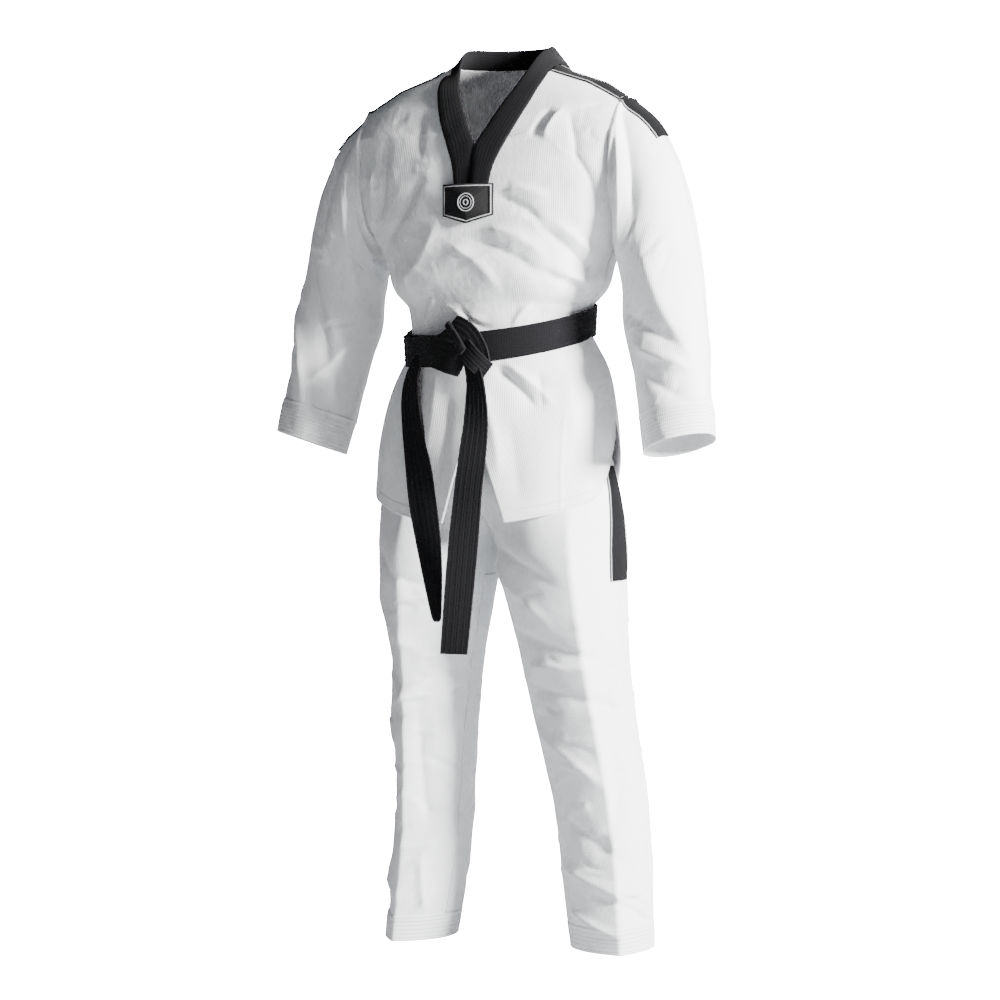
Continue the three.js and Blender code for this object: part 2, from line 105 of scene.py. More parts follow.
def crumple(a, b, size, seed):
    # Small creases of handled cloth: the mean of five ridged waves, 1 - 2|sin|, bent by slower waves.
    rng = np.random.default_rng(seed)
    total = np.zeros_like(a)
    waves = zip(rng.uniform(0, tau, 5), rng.uniform(0, tau, 5), rng.uniform(0.7, 2.2, 5))
    for turn, phase, stretch in waves:
        bend = 0.9 * np.sin((a * math.sin(turn) - b * math.cos(turn)) * 3.1 / size + phase * 2)
        bend += 0.7 * np.sin((a + b * 0.6) * 4.7 / size + phase)
        wave = (a * math.cos(turn) + b * math.sin(turn)) * math.pi / (size * stretch) + phase + bend
        total += (1 - 2 * np.abs(np.sin(wave))) * np.sin(wave * 0.31 + bend + phase)
    return total / 5


def ripple(a, b, size, seed):
    # Slow unevenness of cloth: the mean of nine sine waves with seeded directions.
    rng = np.random.default_rng(seed)
    total = np.zeros_like(a)
    waves = zip(rng.uniform(0, tau, 9), rng.uniform(0, tau, 9), rng.uniform(0.6, 1.7, 9))
    for turn, phase, stretch in waves:
        total += np.sin((a * math.cos(turn) + b * math.sin(turn)) * tau / (size * stretch) + phase)
    return total / 9


def smallFolds(seed, count, aroundRange, heightRange):
    # Short nearly level creases at seeded places: length 25 to 70 mm, width 4 to 8 mm, height 1 to 2 mm.
    rng = np.random.default_rng(seed)
    rows = []
    for a, z in zip(rng.uniform(*aroundRange, count), rng.uniform(*heightRange, count)):
        turn, length = rng.normal(0, 0.35), rng.uniform(0.025, 0.070)
        width = rng.uniform(0.004, 0.008)
        height = rng.choice([-1, 1]) * rng.uniform(0.0009, 0.0021)
        bow = rng.uniform(-0.006, 0.006)
        rows.append((a, z, a + length * math.cos(turn), z + length * math.sin(turn), width, height, 0.5, bow))
    return rows


def makeObject(name, grids, finish, uvs=None, closed=False, wall=None):
    # One mesh from one or more grids of points (rows, columns, 3), quads between neighbours.
    verts, faces, uvList = [], [], []
    base = 0
    for n, p in enumerate(grids):
        rows, cols = p.shape[:2]
        j, i = np.meshgrid(np.arange(rows - 1), np.arange(cols if closed else cols - 1), indexing="ij")
        i2 = (i + 1) % cols
        quad = np.stack([j * cols + i, j * cols + i2, (j + 1) * cols + i2, (j + 1) * cols + i], -1)
        faces.append(quad.reshape(-1, 4) + base)
        verts.append(p.reshape(-1, 3))
        if uvs is not None:
            uv = uvs[n]
            if closed:
                uv = np.concatenate([uv, uv[:, :1] + [[[wrapLength(p), 0]]]], 1)
            k = i + 1
            corner = np.stack([uv[j, i], uv[j, k], uv[j + 1, k], uv[j + 1, i]], 2)
            uvList.append(corner.reshape(-1, 2))
        base += rows * cols
    mesh = bpy.data.meshes.new(name)
    faces = np.concatenate(faces)
    mesh.from_pydata(np.concatenate(verts).tolist(), [], faces.tolist())
    mesh.polygons.foreach_set("use_smooth", np.ones(len(faces), bool))
    if uvs is not None:
        layer = mesh.uv_layers.new(name="UVMap")
        layer.data.foreach_set("uv", np.concatenate(uvList).astype(np.float32).ravel())
    obj = bpy.data.objects.new(name, mesh)
    bpy.context.scene.collection.objects.link(obj)
    if wall:
        solid = obj.modifiers.new("wall", "SOLIDIFY")
        solid.thickness = wall
        solid.offset = -1
        solid.use_even_offset = False
    obj.data.materials.append(finish)
    mesh.update()
    return obj


def wrapLength(p):
    # Length round a closed grid's first row.
    return float(np.linalg.norm(np.diff(np.concatenate([p[0], p[0][:1]]), axis=0), axis=1).sum())


def clothUv(p):
    # Metres across and metres up from the first row, so a weave keeps its size.
    across = np.zeros(p.shape[:2])
    across[:, 1:] = np.cumsum(np.linalg.norm(np.diff(p, axis=1), axis=2).mean(0))[None, :]
    up = np.zeros(p.shape[:2])
    up[1:] = np.cumsum(np.linalg.norm(np.diff(p, axis=0), axis=2).mean(1))[:, None]
    return np.stack([across, up], -1)


def surfaceArea(p, closed=False):
    # Sum of the grid's quads, each as half the length of its diagonals' cross product.
    q = np.concatenate([p, p[:, :1]], 1) if closed else p
    diagonals = np.cross(q[1:, 1:] - q[:-1, :-1], q[1:, :-1] - q[:-1, 1:])
    return float(0.5 * np.linalg.norm(diagonals, axis=2).sum())


def declareSheet(obj, grids, held, width, length, restsOn=(), closed=False):
    # Works out the cloth's own area and the size of the rectangle it was cut out of, and keeps neither.
    # Without a size, its length is its mean way up, and its width is cornerShare * area / length.
    cornerShare = 1.15
    area = sum(surfaceArea(p, closed) for p in grids)
    if not width:
        length = round(float(np.linalg.norm(np.diff(grids[0], axis=0), axis=2).sum(0).mean()), 3)
        width = round(cornerShare * area / length, 3)


def math2(tree, kind, a, b=None, c=None):
    # One Math node on values or sockets. Returns its output.
    node = tree.nodes.new("ShaderNodeMath")
    node.operation = kind
    for k, value in enumerate((a, b, c)):
        if value is None:
            continue
        if isinstance(value, (int, float)):
            node.inputs[k].default_value = value
        else:
            tree.links.new(value, node.inputs[k])
    return node.outputs[0]


# camera, lights, floor

studio = dict(
    azimuth=25, elevation=2.0, distance=4.5, lens=101.25, target=(0, 0, -0.663),
    keyPower=1080, fillPower=6, rimPower=60,
    floorZ=-1.40, floorRadius=20, floorColor=(0.5, 0.51, 0.52, 1),
    worldColor=(0.90, 0.95, 1, 1), worldStrength=0.13,
    backdrop=40.0, floorGlow=40.0,  # what only the camera sees
)


def buildStudio():
    # Camera on a sphere round the target, three area lamps placed right of it and towards it, a plain floor.
    turn, tilt = math.radians(studio["azimuth"]), math.radians(studio["elevation"])
    towards = np.array([math.sin(turn) * math.cos(tilt), -math.cos(turn) * math.cos(tilt), math.sin(tilt)])
    target = np.array(studio["target"])
    right = np.array([math.cos(turn), math.sin(turn), 0])
    cam = bpy.data.objects.new("camera", bpy.data.cameras.new("camera"))
    cam.data.lens = studio["lens"]
    cam.location = target + towards * studio["distance"]
    cam.rotation_euler = (math.pi / 2 - tilt, 0, turn)
    bpy.context.scene.collection.objects.link(cam)
    bpy.context.scene.camera = cam
    lamps = (
        ("keyLight", right * 3.1 + towards * 2.1 + [0, 0, 1.2], 0.8, studio["keyPower"], (1, 0.99, 0.97)),
        ("fillLight", towards * 3.2 - right * 2.2 + [0, 0, 0.4], 2.0, studio["fillPower"], (0.90, 0.95, 1)),
        ("rimLight", right * 1.2 - towards * 2.6 + [0, 0, 1.6], 1.0, studio["rimPower"], (1, 1, 1)),
    )
    for name, offset, size, power, color in lamps:
        lamp = bpy.data.objects.new(name, bpy.data.lights.new(name, "AREA"))
        lamp.data.size = size
        lamp.data.energy = power
        lamp.data.color = color
        lamp.location = target + offset
        way = -np.array(offset) / np.linalg.norm(offset)
        lamp.rotation_euler = (math.acos(-way[2]), 0, math.atan2(-way[0], way[1]))
        bpy.context.scene.collection.objects.link(lamp)
    world = bpy.data.worlds.new("studioWorld")
    bpy.context.scene.world = world
    world.use_nodes = True
    nodes, links = world.node_tree.nodes, world.node_tree.links
    back = nodes["Background"]
    path = nodes.new("ShaderNodeLightPath")
    pick = nodes.new("ShaderNodeMix")
    pick.inputs["A"].default_value = studio["worldStrength"]
    pick.inputs["B"].default_value = studio["backdrop"]
    links.new(path.outputs["Is Camera Ray"], pick.inputs["Factor"])
    links.new(pick.outputs["Result"], back.inputs["Strength"])
    back.inputs["Color"].default_value = studio["worldColor"]
    ring = np.linspace(0, tau, 96, endpoint=False)
    disc = np.stack([np.cos(ring), np.sin(ring), np.zeros(96)], -1)
    radii = np.array([0.001, 3, studio["floorRadius"]])[:, None, None]
    pale = bpy.data.materials.new("paleFloor")
    pale.use_nodes = True
    shader = pale.node_tree.nodes["Principled BSDF"]
    shader.inputs["Base Color"].default_value = studio["floorColor"]
    shader.inputs["Roughness"].default_value = 0.9
    shader.inputs["Emission Color"].default_value = (1, 1, 1, 1)
    seen = pale.node_tree.nodes.new("ShaderNodeLightPath")
    glow = math2(pale.node_tree, "MULTIPLY", seen.outputs["Is Camera Ray"], studio["floorGlow"])
    pale.node_tree.links.new(glow, shader.inputs["Emission Strength"])
    floor = makeObject("floor", [disc[None] * radii + [0, 0, studio["floorZ"]]], pale, closed=True)


buildStudio()
print("stage: studio")

# material groups


def newGroup(name, inputs, outputs):
    # A node group with the given sockets, and its two end nodes.
    group = bpy.data.node_groups.new(name, "ShaderNodeTree")
    for label, kind, value in inputs:
        socket = group.interface.new_socket(label, in_out="INPUT", socket_type=kind)
        if value is not None:
            socket.default_value = value
    for label, kind in outputs:
        group.interface.new_socket(label, in_out="OUTPUT", socket_type=kind)
    return group, group.nodes.new("NodeGroupInput"), group.nodes.new("NodeGroupOutput")


def buildWeaveGroup():
    # Ribs one way and finer threads the other: 0.3 sin(x / rib) + 0.2 sin(y / thread) + 0.5 + 0.35 noise.
    group, into, out = newGroup(
        "weave",
        [("UV", "NodeSocketVector", None), ("Rib", "NodeSocketFloat", 0.0016),
         ("Thread", "NodeSocketFloat", 0.0008)],
        [("Height", "NodeSocketFloat"), ("Mask", "NodeSocketFloat")],
    )
    links = group.links
    split = group.nodes.new("ShaderNodeSeparateXYZ")
    links.new(into.outputs["UV"], split.inputs[0])
    uneven = group.nodes.new("ShaderNodeTexNoise")
    uneven.inputs["Scale"].default_value = 900
    uneven.inputs["Detail"].default_value = 2
    links.new(into.outputs["UV"], uneven.inputs["Vector"])
    waves = []
    for axis, label in ((0, "Rib"), (1, "Thread")):
        turns = math2(group, "DIVIDE", split.outputs[axis], into.outputs[label])
        waves.append(math2(group, "SINE", math2(group, "MULTIPLY", turns, tau)))
    ribs, threads = waves
    both = math2(group, "ADD", math2(group, "MULTIPLY", ribs, 0.3), math2(group, "MULTIPLY", threads, 0.2))
    level = math2(group, "ADD", both, 0.5)
    height = math2(group, "ADD", level, math2(group, "MULTIPLY", uneven.outputs[0], 0.35))
    links.new(height, out.inputs["Height"])
    links.new(math2(group, "MULTIPLY", ribs, threads), out.inputs["Mask"])
    return group


def buildStitchGroup():
    # Rows of stitches beside an edge: rows at first + k * step, each a dash every stitch length.
    group, into, out = newGroup(
        "stitchRows",
        [(label, "NodeSocketFloat", value) for label, value in (
            ("Along", 0), ("From edge", 0), ("First", 0.005), ("Step", 0.006), ("Last", 0.05), ("Stitch", 0.0035))],
        [("Dash", "NodeSocketFloat"), ("Groove", "NodeSocketFloat")],
    )
    lineHalf = 0.0009
    start = math2(group, "SUBTRACT", into.outputs["From edge"], into.outputs["First"])
    rowsPast = math2(group, "DIVIDE", start, into.outputs["Step"])
    phase = math2(group, "FRACT", math2(group, "ADD", rowsPast, 0.5))
    offPhase = math2(group, "ABSOLUTE", math2(group, "SUBTRACT", phase, 0.5))
    off = math2(group, "MULTIPLY", offPhase, into.outputs["Step"])
    far = math2(group, "SMOOTH_MIN", math2(group, "DIVIDE", off, lineHalf), 1, 0.2)
    line = math2(group, "SUBTRACT", 1, far)
    inside = math2(group, "MULTIPLY", math2(group, "GREATER_THAN", start, -0.001),
                   math2(group, "LESS_THAN", into.outputs["From edge"], into.outputs["Last"]))
    groove = math2(group, "MULTIPLY", math2(group, "MAXIMUM", line, 0), inside)
    beat = math2(group, "FRACT", math2(group, "DIVIDE", into.outputs["Along"], into.outputs["Stitch"]))
    dash = math2(group, "MULTIPLY", groove, math2(group, "LESS_THAN", beat, 0.7))
    group.links.new(dash, out.inputs["Dash"])
    group.links.new(groove, out.inputs["Groove"])
    return group


weaveGroup = buildWeaveGroup()
stitchGroup = buildStitchGroup()

# rib, thread: the weave's spacing. first, step, last: stitch rows from the edge, where there are any.
whiteCloth = dict(color=(0.84, 0.85, 0.87), rib=0.0034, thread=0.0017, weave=0.45, rough=0.86, sheen=0.15)
legCloth = dict(color=(0.82, 0.835, 0.86), rib=0.0022, thread=0.0022, weave=0.25, rough=0.8, sheen=0.1)
clothLooks = {
    "jacketCloth": dict(whiteCloth, first=0.006, step=0.0055, last=0.045),
    "skirtCloth": dict(whiteCloth, first=0.004, step=0.013, last=0.02),
    "trouserCloth": legCloth,
    "hemCloth": dict(legCloth, first=0.005, step=0.0068, last=0.047),
    "meshCloth": dict(color=(0.78, 0.80, 0.83), rib=0.0034, thread=0.0034, weave=0.5, rough=0.9, sheen=0.05),
    "bodyCloth": whiteCloth,
    "beltCotton": dict(color=(0.0055, 0.0055, 0.007), rib=0.0026, thread=0.0014, weave=0.5,
        rough=0.78, sheen=0.03,
                       gloss=0.08, first=0.0022, step=0.0044, last=0.0472),
    "collarBand": dict(color=(0.0060, 0.0060, 0.0075), rib=0.0020, thread=0.0020, weave=0.5,
        rough=0.8, sheen=0.03,
                       gloss=0.08, first=0.002, step=0.0062, last=0.0475),
    "patchTwill": dict(color=(0.008, 0.008, 0.009), rib=0.0012, thread=0.0024, weave=0.4,
        rough=0.7, sheen=0.03,
                       gloss=0.12),
    "sideTape": dict(color=(0.006, 0.006, 0.007), rib=0.0022, thread=0.0022, weave=0.15,
        rough=0.95, sheen=0.03,
                     gloss=0.02),
    "patchThread": dict(color=(0.42, 0.43, 0.45), rib=0.0009, thread=0.0018, weave=0.6,
        rough=0.45, sheen=0.2),
}


def clothMaterial(name):
    # Woven cloth: weave and stitches in a bump, colour a little uneven, and painted shade that darkens the colour
    # down in the stitch grooves.
    look = clothLooks[name]
    mat = bpy.data.materials.new(name)
    mat.use_nodes = True
    tree = mat.node_tree
    shader = tree.nodes["Principled BSDF"]
    uv = tree.nodes.new("ShaderNodeUVMap")
    uv.uv_map = "UVMap"
    split = tree.nodes.new("ShaderNodeSeparateXYZ")
    tree.links.new(uv.outputs[0], split.inputs[0])
    weave = tree.nodes.new("ShaderNodeGroup")
    weave.node_tree = weaveGroup
    weave.inputs["Rib"].default_value = look["rib"]
    weave.inputs["Thread"].default_value = look["thread"]
    tree.links.new(uv.outputs[0], weave.inputs["UV"])
    rows = tree.nodes.new("ShaderNodeGroup")
    rows.node_tree = stitchGroup
    for label, key, unstitched in (("First", "first", 0.004), ("Step", "step", 0.004), ("Last", "last", 0)):
        rows.inputs[label].default_value = look.get(key, unstitched)
    tree.links.new(split.outputs[0], rows.inputs["Along"])
    tree.links.new(split.outputs[1], rows.inputs["From edge"])
    shade = tree.nodes.new("ShaderNodeTexNoise")
    shade.inputs["Scale"].default_value = 9
    shade.inputs["Detail"].default_value = 4
    place = tree.nodes.new("ShaderNodeTexCoord")
    tree.links.new(place.outputs["Object"], shade.inputs["Vector"])
    dark = tuple(c * 0.90 for c in look["color"]) + (1,)
    light = tuple(min(c * 1.03, 1) for c in look["color"]) + (1,)
    tint = tree.nodes.new("ShaderNodeMix")
    tint.data_type = "RGBA"
    tint.inputs["A"].default_value = dark
    tint.inputs["B"].default_value = light
    level = math2(tree, "ADD", shade.outputs[0], math2(tree, "MULTIPLY", weave.outputs["Mask"], 0.25))
    # painted shade: the base colour is darkened along the stitch grooves, where shade would fall
    level = math2(tree, "SUBTRACT", level, math2(tree, "MULTIPLY", rows.outputs["Groove"], 1.6))
    tree.links.new(level, tint.inputs["Factor"])
    tree.links.new(tint.outputs["Result"], shader.inputs["Base Color"])
    height = math2(tree, "ADD", math2(tree, "MULTIPLY", weave.outputs["Height"], look["weave"]),
                   math2(tree, "MULTIPLY", rows.outputs["Dash"], 0.5))
    height = math2(tree, "SUBTRACT", height, rows.outputs["Groove"])
    relief = tree.nodes.new("ShaderNodeBump")
    relief.inputs["Strength"].default_value = 0.9
    relief.inputs["Distance"].default_value = 0.0010
    tree.links.new(height, relief.inputs["Height"])
    tree.links.new(relief.outputs[0], shader.inputs["Normal"])
    shader.inputs["Roughness"].default_value = look["rough"]
    shader.inputs["Sheen Weight"].default_value = look["sheen"]
    shader.inputs["Sheen Roughness"].default_value = 0.6
    shader.inputs["Specular IOR Level"].default_value = look.get("gloss", 0.22)
    return mat


finish = {name: clothMaterial(name) for name in clothLooks}
print("stage: materials")

# jacket body

jacket = dict(
    armhole=0.214, beltZ=-0.400, riseX=0.1, riseY=0.2, underBelt=0.020,
    neckX=0.005, neckZ=-0.107, neckSlope=1.83,
    napeZ=0.030, wall=0.0016, foldGain=1.35, pout=0.011, poutZ=-0.322, flat=(0.56, 0.62),
    # height, half width, front depth, back depth, squareness of the oval, shift to the back
    ovals=np.array([
        [-470, 151, 106, 106, 2.0, 0], [-400, 148, 104, 104, 2.0, 0], [-352, 152, 107, 107, 2.0, 0],
        [-310, 174, 118, 119, 2.2, 2], [-272, 193, 125, 127, 2.3, 4], [-220, 224, 125, 130, 2.5, 6],
        [-150, 252, 118, 126, 2.6, 8], [-85, 268, 104, 114, 2.6, 10], [-43, 232, 86, 98, 2.5, 11],
        [-8, 180, 64, 84, 2.3, 12], [12, 122, 54, 80, 2.2, 12], [26, 94, 46, 74, 2.1, 12],
        [42, 70, 36, 64, 2.0, 12],
    ]),
)


def ovalAt(z):
    # The body's oval at a height: each value read off between its stations.
    rows = jacket["ovals"]
    read = [np.interp(z / mm, rows[:, 0], rows[:, k]) for k in range(1, 6)]
    return read[0] * mm, read[1] * mm, read[2] * mm, read[3], read[4] * mm


def bodyY(x, z, front):
    # Depth of the body: shift -/+ depth * (1 - |x/a|^n)^(1/n).
    a, deepFront, deepBack, n, shift = ovalAt(z)
    rest = np.clip(1 - np.clip(np.abs(x) / a, 0, 1) ** n, 0, 1) ** (1 / n)
    return shift - deepFront * rest if front else shift + deepBack * rest


def ridgeZ(x):
    # Height of the shoulder line at a distance x: where the oval is exactly that wide.
    rows = jacket["ovals"][7:]
    return np.interp(-np.abs(x) / mm, -rows[:, 1], rows[:, 0]) * mm


def beltPlane(x, y):
    # Height of the belt's middle: beltZ + riseX * x + riseY * y.
    return jacket["beltZ"] + jacket["riseX"] * x + jacket["riseY"] * y


# Folds in mm: the two ends, width, height (lean and bow as foldField says). Here an end is x, z.
chestFolds = [
    # drags from the patch down to the wearer's left side
    (49, -186, 122, -229, 11, -4, 0.5, 6), (60, -178, 130, -190, 10, 3, 0.4, 6),
    (10, -253, 117, -310, 13, -4.2, 0.5, 8), (30, -236, 125, -282, 13, 4, 0.4, 10),
    (-30, -262, 50, -330, 16, 3.8, 0.4, 10), (122, -238, 190, -339, 10, -4.2, 0.5, 10),
    (140, -228, 200, -318, 9, 3.6, 0.4, 10), (110, -300, 178, -352, 8, -4, 0.5, 6),
    (132, -296, 190, -342, 7, 4.2, 0.5, 6), (142, -312, 184, -360, 6, -3.6, 0.5, 4),
    # short folds under the shoulder seams
    (98, -95, 120, -50, 7, -3.4, 0.5, 4), (118, -98, 139, -52, 8, 3.2, 0.5, 4),
    (150, -60, 168, -130, 10, -3, -0.5, 4), (165, -120, 200, -205, 10, -3.4, 0.5, 8),
    (-100, -50, -92, -120, 10, -2.6, 0.5, 0), (-160, -90, -168, -215, 12, -3.6, 0.4, 6),
    (-185, -140, -190, -230, 9, 3, 0.4, 4),
    # the wearer's right side
    (-50, -215, -125, -320, 18, 3.4, 0.4, 10), (-85, -150, -165, -260, 16, -3.6, 0.5, 8),
    (-135, -250, -100, -360, 12, 3.6, 0.4, 6), (-155, -280, -135, -370, 9, -3.6, 0.5, 4),
    # an arch over the knot, and puckers that fan out from the belt
    (-90, -386, -58, -336, 8, 4.6, 0.5, 4), (-66, -330, -20, -372, 9, -4, 0.5, -6),
    (-58, -344, 20, -378, 9, 4.6, 0.5, -8), (-18, -362, 46, -396, 7, -4.2, 0.5, -6),
    (65, -392, 94, -352, 6, 3.6, 0.5, 4), (86, -388, 112, -362, 6, -3.2, 0.5, 2),
    (118, -384, 150, -350, 6, 3, 0.5, 2),
]
backFolds = [
    (-120, -120, -40, -330, 22, -5, 0.4, 10), (120, -120, 50, -320, 22, -5, -0.4, -10),
    (-60, -200, 60, -215, 30, 4.5, 0.3, 20), (-150, -260, -110, -380, 14, 5, 0.4, 0),
    (-90, -300, -75, -385, 12, -5, 0.4, 0), (-30, -290, -28, -380, 12, 5.5, 0.4, 0),
    (20, -300, 22, -375, 11, -5, 0.4, 0), (70, -280, 75, -370, 13, 5.5, 0.4, 0),
    (130, -250, 125, -360, 14, -5, 0.4, 0), (-100, -10, 100, -12, 20, -2.5, 0.4, 12),
]


def bodyPanel(front, columns=230, rows=170):
    # Half of the body. Across: x = w(z) * sin(phi), where w is the oval's half width up to the armhole's
    # plane. Up: from the belt to the shoulder line or the neckline, closer together near the top. Depth from
    # the oval, then folds along the normal.
    phi = np.linspace(-math.pi / 2, math.pi / 2, columns)
    if not front:
        phi = phi[::-1]
    across = np.sin(phi)[None, :]
    topX = across * jacket["armhole"]
    top = ridgeZ(topX)
    if front:  # the cut edge under the collar
        vee = jacket["neckZ"] - 0.020 + np.abs(topX - jacket["neckX"]) * jacket["neckSlope"]
        top = np.minimum(top, vee)
    else:
        top = np.minimum(top, jacket["napeZ"])
    v = 1 - (1 - np.linspace(0, 1, rows)[:, None]) ** 1.7
    x = topX + 0 * v
    for _ in range(4):
        low = beltPlane(x, bodyY(x, np.full_like(x, -0.41), front)) - jacket["underBelt"]
        z = low + v * (top - low)
        wide = np.where(z > -0.10, jacket["armhole"], np.minimum(ovalAt(z)[0] - 0.0001, jacket["armhole"]))
        x = across * wide
    p = np.stack([x, bodyY(x, z, front), z], -1)
    n = gridNormals(p)
    side = (1 - step01(0, 0.05, 1 - np.abs(across))) * (1 - step01(-0.28, -0.24, z))
    n = n * (1 - side)[..., None] + np.stack([np.sign(x), 0 * x, 0 * x], -1) * side[..., None]
    n /= np.linalg.norm(n, axis=2, keepdims=True)
    edge = step01(0, 0.10, 1 - np.abs(across)) * step01(0, 0.035, top - z)
    aboveBelt = z - beltPlane(p[..., 0], p[..., 1])
    edge = edge * (0.2 + 0.8 * step01(0.018, 0.045, aboveBelt))  # the cloth lies flat under the belt
    if front:  # and under the patch
        edge = edge * (1 - 0.9 * bump(x, 0, 0.055) * bump(z, -0.195, 0.042))
    folds = inMetres(chestFolds if front else backFolds)
    lift = foldField(x, z, folds, jacket["foldGain"]) * edge
    lift += (ripple(x, z, 0.11, 4 if front else 5) * 0.0024 + crumple(x, z, 0.034, 6) * 0.0006) * edge
    lift += foldField(x, z, smallFolds(61, 34, (-0.20, 0.20), (-0.36, -0.05)), 0.8) * edge
    pout = bump(z, jacket["poutZ"], 0.030) * (0.35 + 0.65 * step01(0.03, 0.10, np.abs(x)))
    lift += jacket["pout"] * pout  # the cloth pouts over the belt
    return p + n * lift[..., None]


def buildBody():
    # Front and back panel, each with its own cut.
    tuck = (0.0014, 0.007)
    for name, front, node in (("jacketFront", True, "jacket_front"), ("jacketBack", False, "jacket_back")):
        p = bodyPanel(front)
        if not front:  # a seam allowance reaches under the front panel
            tucked = [p[:, k] + [-math.copysign(tuck[0], p[5, k, 0]), -tuck[1], 0] for k in (0, -1)]
            p = np.concatenate([tucked[0][:, None], p, tucked[1][:, None]], 1)
        body = makeObject(name, [p], finish["bodyCloth"], [clothUv(p)], wall=jacket["wall"])
        declareSheet(body, [p], "hung", *jacket["flat"], ["belt_inner_wrap"])
        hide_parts(node)
        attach(body, "torso")


buildBody()
print("stage: jacket body")

# collar

collar = dict(
    wall=0.0034, lift=0.0045, shift=0.005, crown=0.0020, overlap=0.0030, flat=(0.055, 0.43),
    # x, y, z in mm of both edges, from the patch over the shoulder to the middle of the nape. The other half
    # mirrors them. Where y is None the edge lies on the chest.
    outer=[
        (30, None, -170), (37, None, -136), (50, None, -104), (65, None, -72), (80, None, -36), (90, None, -2),
        (95, 10, 28), (97, 46, 24), (84, 73, 20), (48, 90, 16), (0, 97, 15),
    ],
    inner=[
        (0, None, -170), (0, None, -140), (0, None, -107), (17, None, -74), (34, None, -40), (51, None, -6),
        (66, -14, 38), (73, 16, 55), (67, 46, 61), (40, 69, 61), (0, 77, 61),
    ],
)


def collarEdge(points, side):
    # One edge of the collar: on the body's surface down the front, free round the back of the neck.
    rows = []
    for x, y, z in points:
        px = collar["shift"] + side * x * mm
        surface = float(bodyY(np.array(px), np.array(z * mm), True)) - collar["lift"]
        rows.append((px, surface if y is None else y * mm, z * mm))
    return np.array(rows)


def buildCollar():
    # Each half is ruled between its two edges and crowned by 1 - (2w - 1)^4 across its width w.
    t = np.linspace(0, 1, 170)
    w = np.linspace(0, 1, 16)
    halves = ((-1, "collarRight", ["collar_right"]), (1, "collarLeft", ["collar_left", "collar_back"]))
    for side, name, nodes in halves:
        outer = along(collarEdge(collar["outer"], side), t)
        inner = along(collarEdge(collar["inner"], side), t)
        p = outer[:, None] + (inner - outer)[:, None] * w[None, :, None]
        if side > 0:
            p = p[:, ::-1]
        n = gridNormals(p)
        crown = collar["crown"] * (1 - (2 * w - 1) ** 4)[None, :]
        crown = crown + ripple(p[..., 0], p[..., 2], 0.05, 8) * 0.0008
        # the left band lies over the right one at the V's point
        overlap = collar["overlap"] if side > 0 else 0.0
        lift = crown + overlap * (1 - step01(-0.16, -0.06, p[..., 2]))
        p = p + n * lift[..., None]
        uv = clothUv(p)
        uv = np.stack([uv[..., 1], uv[..., 0]], -1)
        band = makeObject(name, [p], finish["collarBand"], [uv], wall=collar["wall"])
        declareSheet(band, [p], "laid", *collar["flat"], ["jacket_front"])
        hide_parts(*nodes)
        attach(band, "torso")


buildCollar()
print("stage: collar")

# sleeves

sleeve = dict(
    # x, y, z, half width, half depth, lean from upright, forward pitch, for the wearer's left arm
    stations=np.array([
        [214, 9, -148, 122, 82, 0, 0], [226, 8, -163, 115, 84, 9, 0], [245, 6, -191, 103, 83, 20, 0],
        [263, 3, -235, 87, 79, 35, 1], [276, 0, -297, 73, 72, 53, 3], [286, -6, -372, 67, 65, 70, 5],
        [301, -15, -443, 64, 61, 75, 8], [312, -26, -508, 61, 58, 75, 10], [323, -38, -573, 59, 54, 74, 11],
    ]),
    rows=200, columns=132, wall=0.0016, holeLow=-0.2475, holeReach=0.20, foldGain=1.6, radius=0.062,
    flat=(0.56, 0.66),
    cuffFrom=0.895, cuffWall=0.0010, cuffFlat=(0.42, 0.06), gusset=(0.14, 0.40), gussetWall=0.0009,
    bendStart=(0.214, 0, -0.250), bendEnd=(0.284, 0, -0.295),  # where the cloth gives when the arm lifts
)
sleeveFolds = {
    # an end is the distance round the arm (0 at the outer side, minus towards the front) and down it
    "left": [
        (-20, 20, -100, 160, 16, -5.5, 0.4, 8), (-50, 30, -160, 200, 14, 4.5, 0.4, 10),
        (-100, 200, -40, 360, 20, 5.5, 0.4, 10), (-150, 260, -60, 330, 14, -5, 0.5, 6),
        (-140, 310, -50, 360, 12, 5, 0.5, 4), (-130, 350, -20, 420, 16, -4, 0.5, 8),
        (-120, 410, -50, 530, 20, 3.5, 0.4, 0), (-30, 300, 30, 500, 22, -3.5, 0.4, 10),
        (60, 100, 120, 300, 22, 5, 0.4, 10), (100, 280, 20, 400, 16, -5, 0.4, 6),
        (140, 200, 160, 500, 22, 4, 0.4, 6), (40, 420, 100, 550, 16, 3.5, 0.4, 0),
    ],
    "right": [
        (-30, 40, -80, 200, 18, -5, 0.4, 8), (-90, 80, -150, 240, 16, 4.5, 0.4, 8),
        (-50, 220, -130, 350, 18, -5.5, 0.5, 10), (-20, 270, -100, 400, 16, 6, 0.4, 10),
        (-10, 340, -90, 440, 14, -5, 0.4, 6), (-150, 300, -100, 370, 11, 4.5, 0.4, 4),
        (-120, 420, -70, 550, 18, 4, 0.4, 0), (-20, 440, -40, 570, 14, -3.5, 0.4, 4),
        (60, 100, 120, 300, 22, 5, 0.4, 10), (100, 280, 20, 400, 16, -5, 0.4, 6),
        (140, 200, 160, 500, 22, 4, 0.4, 6),
    ],
}


